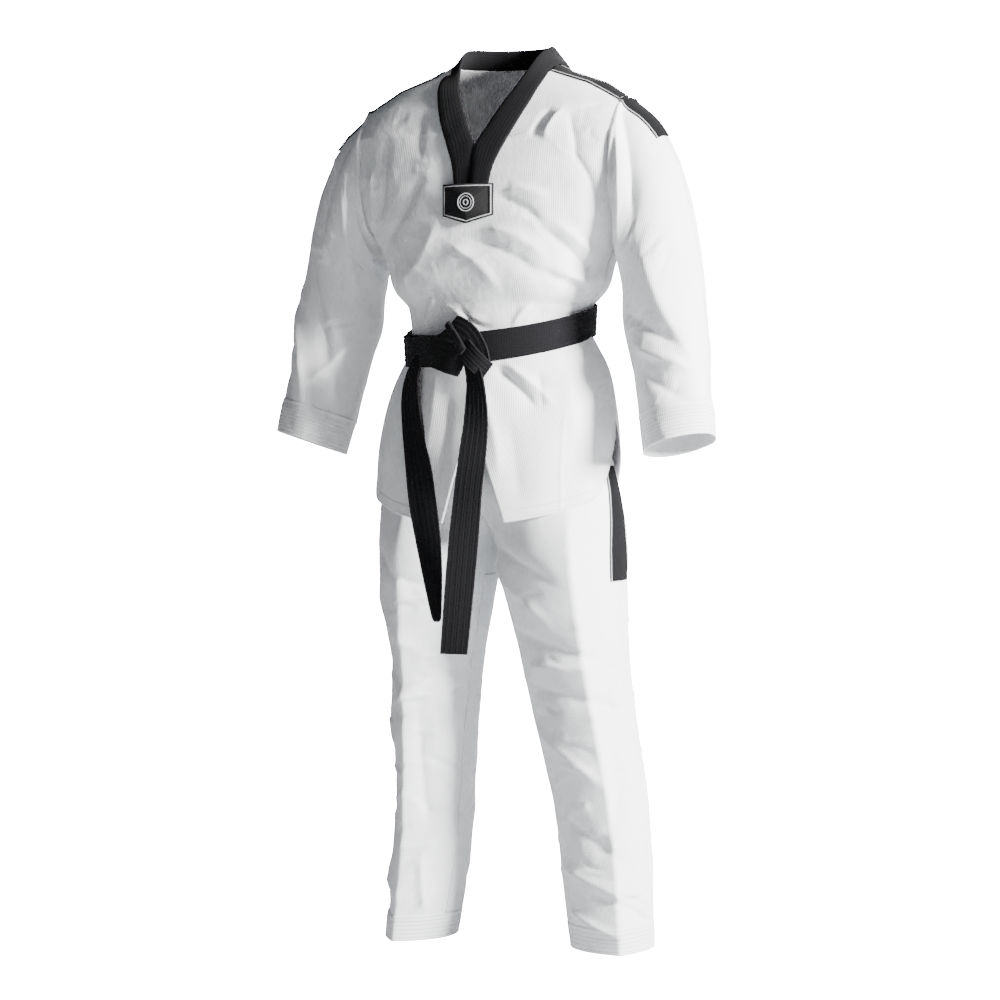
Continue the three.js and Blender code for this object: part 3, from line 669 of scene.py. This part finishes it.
def sleeveSurface(side, low=0.0, high=1.0, rows=None, fromAngle=0.0, toAngle=tau, columns=None, lift=0.0):
    # A tube along the arm: centre + across * a * cos(angle) + depth * b * sin(angle), whose first ring is
    # the armhole's own outline. Row 0 is the cuff. Returns points and distances round and down.
    rows, columns = rows or sleeve["rows"], columns or sleeve["columns"]
    whole = bool(np.all(toAngle - fromAngle >= tau - 1e-6))
    t = np.linspace(high, low, rows)[:, None]
    share = np.linspace(0, 1, columns, endpoint=not whole)[None, :]
    angle = fromAngle * (1 - share) + toAngle * share + 0 * t
    s = along(sleeve["stations"], t[:, 0])[:, None]
    lean, pitch = np.radians(s[..., 5]), np.radians(s[..., 6])
    a, b = s[..., 3] * mm, s[..., 4] * mm
    x = s[..., 0] * mm + np.sin(lean) * a * np.cos(angle)
    y = s[..., 1] * mm + np.cos(pitch) * b * np.sin(angle)
    z = s[..., 2] * mm + np.cos(lean) * a * np.cos(angle) - np.sin(pitch) * b * np.sin(angle)
    # the armhole's own outline, left behind over the first part of the sleeve
    holeX = jacket["armhole"]
    spanTop, spanLow = float(ridgeZ(np.array(holeX))), sleeve["holeLow"]
    holeZ = (spanTop + spanLow) / 2 + (spanTop - spanLow) / 2 * np.cos(angle)
    holeXs = holeX + 0 * holeZ
    holeY = np.where(np.sin(angle) < 0, bodyY(holeXs, holeZ, True), bodyY(holeXs, holeZ, False))
    keep = 1 - step01(0, sleeve["holeReach"], t)
    x = x * (1 - keep) + s[..., 0] * mm * keep
    y = y * (1 - keep) + holeY * keep
    z = z * (1 - keep) + (holeZ + s[..., 2] * mm - sleeve["stations"][0, 2] * mm) * keep
    p = np.stack([x, y, z], -1)
    n = gridNormals(p, whole)
    centreLine = along(sleeve["stations"], np.linspace(0, 1, 200))[:, :3] * mm
    wrapped = (angle + math.pi) % tau - math.pi
    around = wrapped * sleeve["radius"] + 0 * t
    down = np.linalg.norm(np.diff(centreLine, axis=0), axis=1).sum() * t + 0 * around
    edge = step01(0.0, 0.05, t) * (1 - 0.6 * step01(0.88, 0.93, t))
    folds = inMetres(sleeveFolds["left" if side > 0 else "right"])
    height = foldField(around, down, folds, sleeve["foldGain"]) * edge
    height += ripple(around, down, 0.09, 11 if side > 0 else 12) * 0.0030 * edge
    height += crumple(around, down, 0.05, 13) * 0.0008 * edge
    height += foldField(around, down, smallFolds(51 + side, 30, (-0.17, 0.0), (0.10, 0.50))) * edge
    height += 0.004 * bump(t, 0.055, 0.035)  # the sleeve head swells
    height -= 0.003 * bump(t, 0.012, 0.010)  # its seam sinks in
    height -= 0.0012 * bump(t, 1 - 0.052 / 0.56, 0.003)  # and so does the line above the cuff
    p = p + n * (height + lift)[..., None]
    if side < 0:
        p = p * [-1, 1, 1]
        p = p[:, ::-1]
    return p


def bendSleeve(piece):
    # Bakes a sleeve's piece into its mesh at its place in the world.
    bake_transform(piece)


def buildSleeves():
    # On each side the tube, the doubled hem at the hand, and the diamond under the arm, whose half angle is
    # 0.06 + 0.42 * (1 - |share|^1.7).
    for side, name in ((1, "left"), (-1, "right")):
        p = sleeveSurface(side)
        tube = makeObject(f"{name}Sleeve", [p], finish["bodyCloth"], [clothUv(p)], closed=True,
                          wall=sleeve["wall"])
        declareSheet(tube, [p], "hung", *sleeve["flat"], closed=True)
        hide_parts(f"{name}_sleeve_front", f"{name}_sleeve_back")
        ring = sleeveSurface(side, low=sleeve["cuffFrom"], high=1.0, rows=26, lift=0.0011)
        cuff = makeObject(f"{name}Cuff", [ring], finish["jacketCloth"], [clothUv(ring)], closed=True,
                          wall=sleeve["cuffWall"])
        declareSheet(cuff, [ring], "laid", *sleeve["cuffFlat"], [f"{name}Sleeve"], closed=True)
        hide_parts(f"{name}_cuff")
        share = np.linspace(-1, 1, 60)[:, None]
        half = 0.06 + 0.42 * (1 - np.abs(share) ** 1.7)
        low, high = sleeve["gusset"]
        diamond = sleeveSurface(side, low=low, high=high, rows=60, fromAngle=math.pi - half,
                                toAngle=math.pi + half, columns=20, lift=0.0010)
        gusset = makeObject(f"{name}UnderarmGusset", [diamond], finish["meshCloth"], [clothUv(diamond)],
                            wall=sleeve["gussetWall"])
        declareSheet(gusset, [diamond], "laid", None, None, [f"{name}Sleeve"])
        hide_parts(f"{name}_underarm_gusset")
        for piece in (tube, cuff, gusset):
            bendSleeve(piece)


buildSleeves()
print("stage: sleeves")

# skirt of the jacket

skirt = dict(
    ovals=[(211, 143), (205, 140), (190, 130), (155, 110)],  # half width and depth in mm, from the hem up
    wall=0.0016, rows=110, hemZ=-0.645, hemDrop=0.052, underBelt=0.012, reach=0.30,
    notchTop=(0.014, -0.540), notchFoot=((-0.034, -0.696), (0.068, -0.696)), topZ=-0.435,
    frontFlat=(0.62, 0.30), backFlat=(0.62, 0.32),
    frontBend=(-0.440, -0.500), backBend=(-0.395, -0.455), bendY=0.115,
)
skirtFolds = [
    (46, -452, 112, -515, 11, -7.5, 0.5, 4), (60, -448, 132, -506, 10, 6, 0.4, 4),
    (20, -480, 60, -620, 18, 5, 0.4, 10), (110, -460, 122, -520, 10, -3.5, 0.4, 0),
    (75, -540, 95, -660, 28, -4, 0.3, 0), (-60, -470, -70, -600, 20, 4.5, 0.4, 6),
    (-100, -465, -115, -600, 18, -4.5, 0.4, 4), (-140, -470, -155, -620, 18, 4, 0.4, 0),
    (-30, -500, -45, -640, 14, -4, 0.4, 4), (150, -460, 165, -560, 16, 3.5, 0.4, 0),
]


def skirtHem(angle):
    # Hem height, highest at the sides: hemZ - hemDrop * |sin(angle)|^1.5.
    return skirt["hemZ"] - skirt["hemDrop"] * np.abs(np.sin(angle)) ** 1.5


def skirtSurface(fromAngle, toAngle, columns, cornerRise=(0.03, 0.03)):
    # Oval rings widening downwards, from the hem (row 0) up to the belt, cut between two angles per row.
    v = np.linspace(0, 1, skirt["rows"])[:, None]
    size = along(skirt["ovals"], v[:, 0])[:, None] * mm
    u = np.linspace(0, 1, columns)[None, :]
    angle = fromAngle(v, size) * (1 - u) + toAngle(v, size) * u
    x, y = size[..., 0] * np.cos(angle), size[..., 1] * np.sin(angle)
    # the corners beside the vents are rounded: rise * (1 - distance from the edge / reach)^2
    rise = cornerRise[0] * np.clip(1 - u / skirt["reach"], 0, 1) ** 2
    rise = rise + cornerRise[1] * np.clip(1 - (1 - u) / skirt["reach"], 0, 1) ** 2
    z = (skirtHem(angle) + rise) * (1 - v) + (beltPlane(x, y) - skirt["underBelt"]) * v
    p = np.stack([x, y, z], -1)
    n = gridNormals(p)
    folds = skirtFolds if float(angle.mean()) > math.pi else skirtFolds[3:]  # the knot's drags are in front
    fade = 1 - step01(0.93, 1.0, v)
    height = foldField(x, z, inMetres(folds)) * fade + ripple(x, z, 0.10, 21) * 0.0022 * fade
    height += 0.0009 * bump(x, 0.150, 0.003) * step01(0.0, 0.1, 0.62 - v)  # pressed line
    height -= 0.0008 * bump(z - skirtHem(angle), 0.020, 0.002)
    return p + n * height[..., None]


def notchAngle(side):
    # Angle of the notch's edge on each row, from x = top.x + (foot.x - top.x) * depth below the top.
    topX, topZ = skirt["notchTop"]
    footX, footZ = skirt["notchFoot"][0 if side < 0 else 1]

    def read(v, size):
        z = footZ * (1 - v) + skirt["topZ"] * v
        share = np.clip((topZ - z) / (topZ - footZ), 0, 1)
        x = topX + (footX - topX) * share ** 0.9 + side * 0.0006
        return tau - np.arccos(np.clip(x / size[..., 0], -1, 1))

    return read


def fixedAngle(angle):
    # An edge at the same angle on every row.
    return lambda v, size: angle + 0 * v


def ventAngle(top, lean):
    # A vent's edge that leans away downwards: top + lean * (1 - v)^1.3.
    return lambda v, size: top + lean * (1 - v) ** 1.3


def buildSkirt():
    # The front in one piece of two halves on either side of the notch, and the back, a little narrower.
    halves = [skirtSurface(ventAngle(math.pi + 0.01, 0.10), notchAngle(-1), 90, (0.040, 0)),
              skirtSurface(notchAngle(1), ventAngle(tau - 0.01, -0.14), 90, (0, 0.085))]
    front = makeObject("skirtFront", halves, finish["skirtCloth"], [clothUv(p) for p in halves],
                       wall=skirt["wall"])
    declareSheet(front, halves, "hung", *skirt["frontFlat"], ["trousers_seat_front"])
    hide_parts("skirt_front")
    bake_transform(front)
    back = skirtSurface(fixedAngle(-0.02), fixedAngle(math.pi + 0.02), 170, (0.115, 0.060))
    back = back * [0.955, 0.985, 1]
    rear = makeObject("skirtBack", [back], finish["skirtCloth"], [clothUv(back)], wall=skirt["wall"])
    declareSheet(rear, [back], "hung", *skirt["backFlat"], ["trousers_seat_back"])
    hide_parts("skirt_back")
    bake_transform(rear)


buildSkirt()
print("stage: skirt")

# trousers: each half runs from the waistband to its hem

trousers = dict(
    wall=0.0016, rows=300, columns=134, radius=0.082, foldGain=1.15, smallGain=1.3, crotch=(-0.77, -0.61),
    creaseFade=(-0.75, -0.64), crease=0.023, backCrease=0.014, creaseRoom=0.005, flat=(0.72, 1.08),
    hemFrom=0.945, hemWall=0.0010, hemFlat=(0.50, 0.06), panel=(0.40, 0.944), panelWall=0.0009,
    bendStart=(0, 0, -0.62), bendEnd=(0, 0, -0.86),  # where the cloth gives when the legs spread
    # x, y, z, half width, half depth in mm
    left=np.array([
        [66, 0, -418, 62, 90], [73, 0, -500, 71, 101], [94, 0, -590, 92, 118], [103, 0, -670, 102, 129],
        [110, 0, -750, 104, 124], [118, 0, -830, 97, 108], [132, 0, -920, 89, 95], [152, 0, -1020, 84, 88],
        [172, 1, -1118, 80, 83], [184, 2, -1212, 77, 80], [190, 3, -1296, 74, 78], [195, 3, -1364, 69, 75],
    ]),
    right=np.array([
        [-66, 0, -418, 62, 90], [-73, 0, -500, 71, 101], [-92, 0, -590, 90, 118], [-101, 0, -670, 100, 129],
        [-104, 0, -750, 99, 122], [-107, 0, -830, 90, 106], [-110, 0, -920, 77, 92],
        [-112, 0, -1020, 70, 84], [-115, 1, -1120, 67, 79], [-121, 2, -1220, 66, 76],
        [-131, 3, -1302, 64, 73], [-141, 3, -1371, 60, 70],
    ]),
)
legFolds = {
    # an end is the distance round the leg (0 straight out to the side, minus towards the front) and z
    "left": [
        (-220, -735, -100, -790, 16, -6, 0.4, 10), (-240, -760, -120, -850, 18, 5.5, 0.4, 10),
        (-200, -870, -60, -910, 18, -6, 0.5, 8), (-170, -920, -50, -925, 12, 5.5, 0.5, 6),
        (-190, -950, -40, -985, 16, -5, 0.4, 6), (-20, -850, -50, -1000, 22, 5, 0.4, 8),
        (-200, -1020, -80, -1110, 20, 5.5, 0.4, 10), (-60, -1050, -100, -1210, 22, -5, 0.4, 10),
        (-180, -1150, -60, -1230, 18, -5, 0.4, 8), (-200, -1230, -50, -1290, 16, 5.5, 0.5, 8),
        (-120, -1270, 0, -1330, 14, -5.5, 0.5, 6), (-180, -1300, -60, -1350, 12, 5, 0.5, 4),
        (50, -800, 120, -1000, 24, 5, 0.4, 10), (80, -1050, 160, -1250, 24, -5, 0.4, 10),
        (120, -800, 180, -960, 20, -5, 0.4, 10), (50, -1220, 150, -1300, 16, 5, 0.4, 8),
    ],
    "right": [
        (-60, -740, -160, -800, 16, -5.5, 0.4, 8), (-40, -800, -140, -900, 18, 5, 0.4, 10),
        (-30, -900, -120, -960, 16, -5.5, 0.4, 8), (-170, -940, -100, -985, 12, 5, 0.4, 4),
        (-20, -980, -100, -1060, 18, 5, 0.4, 8), (-140, -1000, -160, -1180, 18, -4.5, 0.4, 6),
        (-30, -1080, -90, -1220, 20, -5, 0.4, 10), (-40, -1250, -120, -1300, 14, 5, 0.4, 6),
        (-20, -1300, -90, -1340, 12, -4.5, 0.4, 4), (-150, -1230, -170, -1330, 14, 4, 0.4, 4),
        (50, -800, 120, -1000, 24, 5, 0.4, 10), (80, -1050, 160, -1250, 24, -5, 0.4, 10),
    ],
}


def panelHalfAngle(t):
    # Half angle of the inner-leg panel, 0.2 above and 0.5 at the hem.
    return 0.2 + 0.3 * step01(0.33, 1.0, t)


def legSurface(side, low=0.0, high=1.0, rows=None, spread=None, columns=None, lift=0.0):
    # One trouser half: ovals down the leg, centre + (a cos, b sin). Above the crotch the ring turns into half
    # of the hips' oval, (w cos(angle/2), b sin(angle/2)), so both halves meet on the middle plane. Row 0 is
    # the hem, angle 0 points out to the side and the front is minus.
    key = "left" if side > 0 else "right"
    rows, columns = rows or trousers["rows"], columns or trousers["columns"]
    whole = spread is None
    t = np.linspace(high, low, rows)[:, None]
    if whole:
        angle = np.linspace(0, tau, columns, endpoint=False)[None, :] + 0 * t
    else:
        share = np.linspace(0, 1, columns)[None, :]
        angle = spread[0] * (1 - share) + spread[1] * share + 0 * t
    s = along(trousers[key], t[:, 0])[:, None] * mm
    centreX, a = s[..., 0] * side, s[..., 3]
    hips = step01(*trousers["crotch"], s[..., 2])
    wrapped = (angle + math.pi) % tau - math.pi
    x = (centreX + a * np.cos(angle)) * (1 - hips) + (centreX + a) * np.cos(wrapped / 2) * hips
    y = s[..., 1] + s[..., 4] * (np.sin(angle) * (1 - hips) + np.sin(wrapped / 2) * hips)
    z = s[..., 2] + 0 * angle
    p = np.stack([np.maximum(x, 0.0008), y, z], -1)
    n = gridNormals(p, whole)
    around = wrapped * trousers["radius"]
    edge = 1 - 0.7 * step01(0.94, 0.97, t)
    height = foldField(around, z, inMetres(legFolds[key]), trousers["foldGain"]) * edge
    small = smallFolds(41 + side, 56, (-0.24, -0.01), (-1.33, -0.80))
    height += foldField(around, z, small, trousers["smallGain"]) * edge
    height += foldField(around, z, smallFolds(45 + side, 26, (0.02, 0.2), (-1.33, -0.80))) * edge
    height += ripple(around, z, 0.12, 31 if side > 0 else 32) * 0.0022 * edge
    height += crumple(around, z, 0.05, 33) * 0.0008 * edge
    # pressed lines: cusps h * exp(-|angle from the line| / spread) down the front and the back
    front = -1.02 - 0.31 * hips if side > 0 else -1.42 - 0.50 * hips
    crease = trousers["crease"] * np.exp(-np.abs(wrapped - front) / 0.38)
    crease = crease + trousers["backCrease"] * np.exp(-np.abs(wrapped - 1.45) / 0.30)
    height += (crease - trousers["creaseRoom"]) * (1 - step01(*trousers["creaseFade"], z))
    legOnly = 1 - step01(-0.82, -0.79, z)
    height -= 0.0018 * bump(wrapped, 0.0, 0.018) * legOnly  # outer side seam
    seam = math.pi - panelHalfAngle(t) - 0.05
    height += 0.0014 * bump(np.abs(wrapped), seam, 0.02) * legOnly  # seam before the inner panel
    inner = 1 - (1 - step01(0.004, 0.05, np.abs(x))) * step01(0.1, 0.5, hips)
    p = p + n * (height * inner + lift)[..., None]
    p[..., 0] = np.maximum(p[..., 0], 0.0006)
    if side < 0:
        p = p * [-1, 1, 1]
        p = p[:, ::-1]
    return p


def bendLeg(piece):
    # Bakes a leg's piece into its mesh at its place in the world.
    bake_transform(piece)


def buildTrousers():
    # On each side the leg with its half of the seat, the doubled hem, and the mesh panel inside the leg.
    low, high = trousers["panel"]
    panelRows = 150
    for side, name, extra in ((1, "left", ["trousers_seat_front", "trousers_waistband"]),
                              (-1, "right", ["trousers_seat_back", "crotch_gusset"])):
        p = legSurface(side)
        leg = makeObject(f"{name}TrouserLeg", [p], finish["trouserCloth"], [clothUv(p)], closed=True,
                         wall=trousers["wall"])
        declareSheet(leg, [p], "hung", *trousers["flat"], closed=True)
        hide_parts(f"{name}_leg_front", f"{name}_leg_back", *extra)
        hem = legSurface(side, low=trousers["hemFrom"], high=1.0, rows=24, lift=0.0011)
        band = makeObject(f"{name}LegHem", [hem], finish["hemCloth"], [clothUv(hem)], closed=True,
                          wall=trousers["hemWall"])
        declareSheet(band, [hem], "laid", *trousers["hemFlat"], [f"{name}TrouserLeg"], closed=True)
        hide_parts(f"{name}_leg_hem")
        half = panelHalfAngle(np.linspace(high, low, panelRows)[:, None])
        inner = legSurface(side, low=low, high=high, rows=panelRows, spread=(math.pi - half, math.pi + half),
                           columns=18, lift=0.0010)
        panel = makeObject(f"{name}InnerLegPanel", [inner], finish["meshCloth"], [clothUv(inner)],
                           wall=trousers["panelWall"])
        declareSheet(panel, [inner], "laid", None, None, [f"{name}TrouserLeg"])
        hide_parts(f"{name}_inner_leg_panel")
        for piece in (leg, band, panel):
            bendLeg(piece)


buildTrousers()
print("stage: trousers")

# tapes

tape = dict(
    width=0.040, edge=0.0022, wall=0.0010, innerX=0.100, y=-0.003,
    lift=0.0025, pipingLift=0.0006,
)


def tapeWithEdges(name, p, node):
    # A black strip with a thin grey cord raised along both long edges, which lie at the columns' two ends.
    # A cord's section is an oval: line + edge / 2 * (way * cos + 0.5 * up * sin).
    strip = makeObject(name, [p], finish["sideTape"], [clothUv(p)], wall=tape["wall"])
    declareSheet(strip, [p], "laid", None, None)
    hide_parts(node)
    n = gridNormals(p)
    lifted = p + n * tape["pipingLift"]
    ring = np.linspace(0, tau, 8, endpoint=False)[None, :, None]
    edges = []
    for k in (0, p.shape[1] - 2):
        line, up = lifted[:, k], n[:, k]
        way = lifted[:, k + 1] - line
        way = way / np.linalg.norm(way, axis=1, keepdims=True)
        section = way[:, None] * np.cos(ring) + 0.5 * up[:, None] * np.sin(ring)
        edges.append(line[:, None] + tape["edge"] / 2 * section)
    piping = makeObject(name + "Piping", edges, finish["patchThread"], [clothUv(e) for e in edges],
                        closed=True)
    return strip, piping


def shoulderTapeSurface(side):
    # A strip over the shoulder. Its height at each x and y is found by halving the span between a point
    # inside the body's oval, |x/a|^n + |y/b|^n < 1, and one above it.
    v = np.linspace(0, 1, 40)[:, None]
    u = np.linspace(-1, 1, 25)[None, :]
    x = (tape["innerX"] + (jacket["armhole"] - tape["innerX"]) * v) + 0 * u
    y = tape["y"] + u * tape["width"] / 2
    shape = np.broadcast(x, y).shape
    lowZ, highZ = np.full(shape, -0.10), np.full(shape, 0.03)
    for _ in range(24):
        mid = (lowZ + highZ) / 2
        a, deepFront, deepBack, n, shift = ovalAt(mid)
        deep = np.where(y < shift, deepFront, deepBack)
        inside = (np.clip(x / a, 0, 9) ** n + (np.abs(y - shift) / deep) ** n) < 1
        lowZ, highZ = np.where(inside, mid, lowZ), np.where(inside, highZ, mid)
    p = np.stack([side * x, y + 0 * x, lowZ + tape["lift"]], -1)
    if side < 0:
        p = p[:, ::-1]
    return p[:, ::-1] if gridNormals(p)[..., 2].mean() < 0 else p


def buildTapes():
    # On each side the strip on the shoulder, the one on the sleeve and the one down the trouser leg.
    for side, name in ((1, "left"), (-1, "right")):
        p = shoulderTapeSurface(side)
        for piece in tapeWithEdges(f"{name}ShoulderTape", p, f"{name}_shoulder_tape"):
            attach(piece, "torso")
        p = sleeveSurface(side, low=0.0, high=0.25, rows=50, fromAngle=-0.36, toAngle=0.12, columns=25,
                          lift=0.0022)
        for piece in tapeWithEdges(f"{name}SleeveTape", p, f"{name}_sleeve_tape"):
            bendSleeve(piece)
        p = legSurface(side, low=0.20, high=0.405, rows=90, spread=(-0.32, 0.20), columns=25, lift=0.0022)
        strip, piping = tapeWithEdges(f"{name}LegTape", p, f"{name}_leg_tape")
        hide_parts(f"{name}_hip_tape")
        bendLeg(strip)
        bendLeg(piping)


buildTapes()
print("stage: tapes")

# chest patch

patch = dict(
    half=0.0435, top=-0.167, shoulder=-0.2165, tip=-0.229, y=-0.1262, curve=4.0,
    back=-0.0022, face=0.0007, crestDrop=0.029, crestLift=0.0008, crestDepth=0.8,
    # inset and lift of the border's section, radius and half thickness of the crest's rings
    border=((0.0026, 0.0006), (0.0030, 0.0013), (0.0040, 0.0013), (0.0044, 0.0006), (0.0026, 0.0006)),
    rings=((0.0135, 0.0009), (0.0095, 0.0006), (0.0040, 0.0009)),
)


def patchRing(inset):
    # The patch's outline: five straight sides, moved in by an inset.
    h = patch["half"] - inset
    top = patch["top"] - inset
    shoulder = patch["shoulder"] + inset * 0.7
    corners = np.array([[-h, top], [-h, shoulder], [0, patch["tip"] + inset * 1.1], [h, shoulder], [h, top]])
    t = np.linspace(0, 1, 24, endpoint=False)[:, None]
    sides = [corners[k] * (1 - t) + corners[(k + 1) % 5] * t for k in range(5)]
    return np.concatenate(sides)


def patchFace(ring, lift):
    # A ring laid on the chest, which it follows a little: y + curve * x^2 - lift.
    x, z = ring[:, 0], ring[:, 1]
    return np.stack([x, patch["y"] + patch["curve"] * x**2 - lift, z], -1)


def patchPiece(name, grids, key, node):
    # A closed piece of the patch, with the threads' coordinates straight across the chest.
    uvs = [np.stack([p[..., 0], p[..., 2]], -1) for p in grids]
    piece = makeObject(name, grids, finish[key], uvs, closed=True)
    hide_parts(node)
    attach(piece, "torso")


def buildPatch():
    # The twill badge with a raised border inside its edge and a round crest of three rings.
    outline = patchRing(0)
    middle = outline.mean(0)
    back, face = patch["back"], patch["face"]
    layers = ((0.02, back), (0.99, back), (1.0, 0.0), (0.985, face), (0.02, face))
    badge = np.array([patchFace(middle + (outline - middle) * share, lift) for share, lift in layers])
    patchPiece("chestPatch", [badge], "patchTwill", "chest_patch")
    border = np.array([patchFace(patchRing(inset), lift) for inset, lift in patch["border"]])
    patchPiece("patchBorder", [border], "patchThread", "patch_border")
    rings = []
    ring = np.linspace(0, tau, 48, endpoint=False)
    section = np.linspace(0, tau, 9)[:, None]
    for radius, thick in patch["rings"]:
        r = radius + thick * np.cos(section)
        x = r * np.cos(ring)
        z = patch["top"] - patch["crestDrop"] + r * np.sin(ring)
        y = patch["y"] - patch["crestLift"] - thick * patch["crestDepth"] * np.sin(section) + 0 * x
        rings.append(np.stack([x, y, z], -1))
    patchPiece("patchCrest", rings, "patchThread", "patch_crest")


buildPatch()
print("stage: patch")

# belt

belt = dict(
    width=0.048, thick=0.0034, wide=0.152, deep=0.108, crown=0.0005, bevel=0.0008, loopLength=0.90,
    bendStart=(0, -0.12, -0.445), bendEnd=(0, -0.12, -0.530),  # where a tail gives below the knot
)


def ribbon(name, middle, facing, half, node, flatLength, body, held):
    # A strap carried along a path: its width runs along facing, and its face is crowned between the stitch
    # rows by crown * cos(5 pi * share of the half width).
    w = np.linspace(-1, 1, 16)
    side = facing / np.linalg.norm(facing, axis=1, keepdims=True)
    p = middle[:, None] + side[:, None] * (half[:, None] * w[None, :])[..., None]
    steps = np.linalg.norm(np.diff(middle, axis=0), axis=1)
    length = np.concatenate([[0], np.cumsum(steps)])
    n = gridNormals(p)
    p = p + n * (belt["crown"] * np.cos(w * 5 * math.pi))[None, :, None]
    uv = np.stack([length[:, None] + 0 * w[None, :], (w[None, :] + 1) * half[:, None]], -1)
    strap = makeObject(name, [p], finish["beltCotton"], [uv], wall=belt["thick"])
    strap.modifiers["wall"].offset = 0
    bevel = strap.modifiers.new("edge", "BEVEL")
    bevel.width = belt["bevel"]
    bevel.segments = 2
    bevel.limit_method = "ANGLE"
    declareSheet(strap, [p], held, 2.2 * float(half.max()), flatLength)
    if node:
        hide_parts(node)
    if body == "torso":
        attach(strap, body)
    else:
        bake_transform(strap)


def beltLoop(name, lift, drop, node):
    # A ply round the waist: an oval in the belt's leaning plane, with slow waves in its height.
    angle = np.linspace(-math.pi / 2, 1.5 * math.pi, 260)
    x, y = (belt["wide"] + lift) * np.cos(angle), (belt["deep"] + lift) * np.sin(angle)
    z = beltPlane(x, y) + drop * np.cos(angle + 0.3) + 0.0012 * np.sin(angle * 3 + 1)
    middle = np.stack([x, y, z], -1)
    facing = np.stack([0.06 * np.cos(angle), 0.06 * np.sin(angle), np.ones_like(angle)], -1)
    half = np.full(len(angle), belt["width"] / 2)
    ribbon(name, middle, facing, half, node, belt["loopLength"], "torso", "laid")


def curveRibbon(name, points, node, body, length, count=90, held="folded"):
    # A strap through points of x, y, z and width in mm, each with the direction its width runs in.
    t = np.linspace(0, 1, count)
    place = along(np.array([point[:4] for point in points], float) * mm, t)
    facing = along(np.array([point[4:] for point in points], float), t)
    ribbon(name, place[:, :3], facing, place[:, 3] / 2, node, length, body, held)


knotWrap = [
    (-40, -120, -446, 44, 1, 0, 0.25), (-42, -128, -418, 46, 1, 0, 0.3), (-32, -134, -397, 46, 0.95, 0, 0.5),
    (-18, -138, -391, 44, 0.6, 0, 0.9), (6, -140, -404, 44, 0.75, 0, 0.7), (20, -138, -428, 46, 0.9, 0, 0.35),
    (24, -133, -450, 44, 1, 0, 0.2),
]
knotFold = [
    (-88, -110, -424, 48, 0, 0, 1), (-62, -127, -427, 49, 0.05, 0, 1), (-38, -137, -432, 50, 0.2, 0, 1),
    (-16, -142, -440, 48, 0.4, 0, 0.9), (4, -142, -450, 40, 0.5, 0, 0.85),
]
knotEdge = [
    (-26, -140, -384, 9, 0.7, 0, 0.72), (-17, -144, -396, 13, 0.7, 0, 0.72),
    (-6, -147, -411, 14, 0.7, 0, 0.72),
    (6, -148, -428, 12, 0.7, 0, 0.72),
]
knotTuck = [
    (2, -140, -418, 28, 0.62, 0, 0.78), (14, -145, -431, 31, 0.62, 0, 0.78),
    (28, -144, -446, 32, 0.62, 0, 0.78),
    (41, -134, -460, 31, 0.62, 0, 0.78),
]
longTail = [
    (12, -134, -440, 30, 1, -0.3, 0), (24, -142, -478, 34, 1, -0.2, 0), (28, -148, -530, 40, 1, 0, 0),
    (24, -152, -585, 44, 1, 0.15, 0), (18, -156, -645, 46, 1, 0.1, 0), (9, -160, -752, 47, 1, 0.25, 0),
    (-2, -166, -897, 44, 1, 0.15, 0),
]
shortTail = [
    (-97, -92, -434, 22, 0.9, -0.45, 0), (-105, -101, -463, 32, 0.9, -0.45, 0),
    (-104, -111, -500, 40, 1, -0.4, 0),
    (-95, -121, -545, 44, 1, -0.3, 0), (-81, -132, -600, 46, 1, -0.1, 0), (-67, -141, -670, 46, 1, 0.1, 0),
    (-50, -150, -752, 36, 1, 0.2, 0), (-36, -159, -834, 16, 1, 0.2, 0), (-34, -160, -848, 5, 1, 0.2, 0),
]


def buildBelt():
    # Two plies round the waist, the knot and the two tails.
    beltLoop("beltInnerWrap", 0.002, -0.0050, "belt_inner_wrap")
    beltLoop("beltOuterWrap", 0.0075, 0.0010, "belt_outer_wrap")
    # the strap that comes up behind both plies, folds over and goes down to the right under itself
    curveRibbon("knotWrap", knotWrap, "knot_core", "torso", 0.14)
    curveRibbon("knotFold", knotFold, "knot_fold", "torso", 0.12)
    # its turned edge, and the end that it tucks under
    curveRibbon("knotEdge", knotEdge, None, "torso", 0.058, count=40)
    curveRibbon("knotTuck", knotTuck, None, "torso", 0.062, count=40)
    curveRibbon("beltTailLong", longTail, "belt_tail_long", "long_tail", 0.50, held="hung")
    curveRibbon("beltTailShort", shortTail, "belt_tail_short", "short_tail", 0.45, held="hung")


buildBelt()
print("stage: belt")
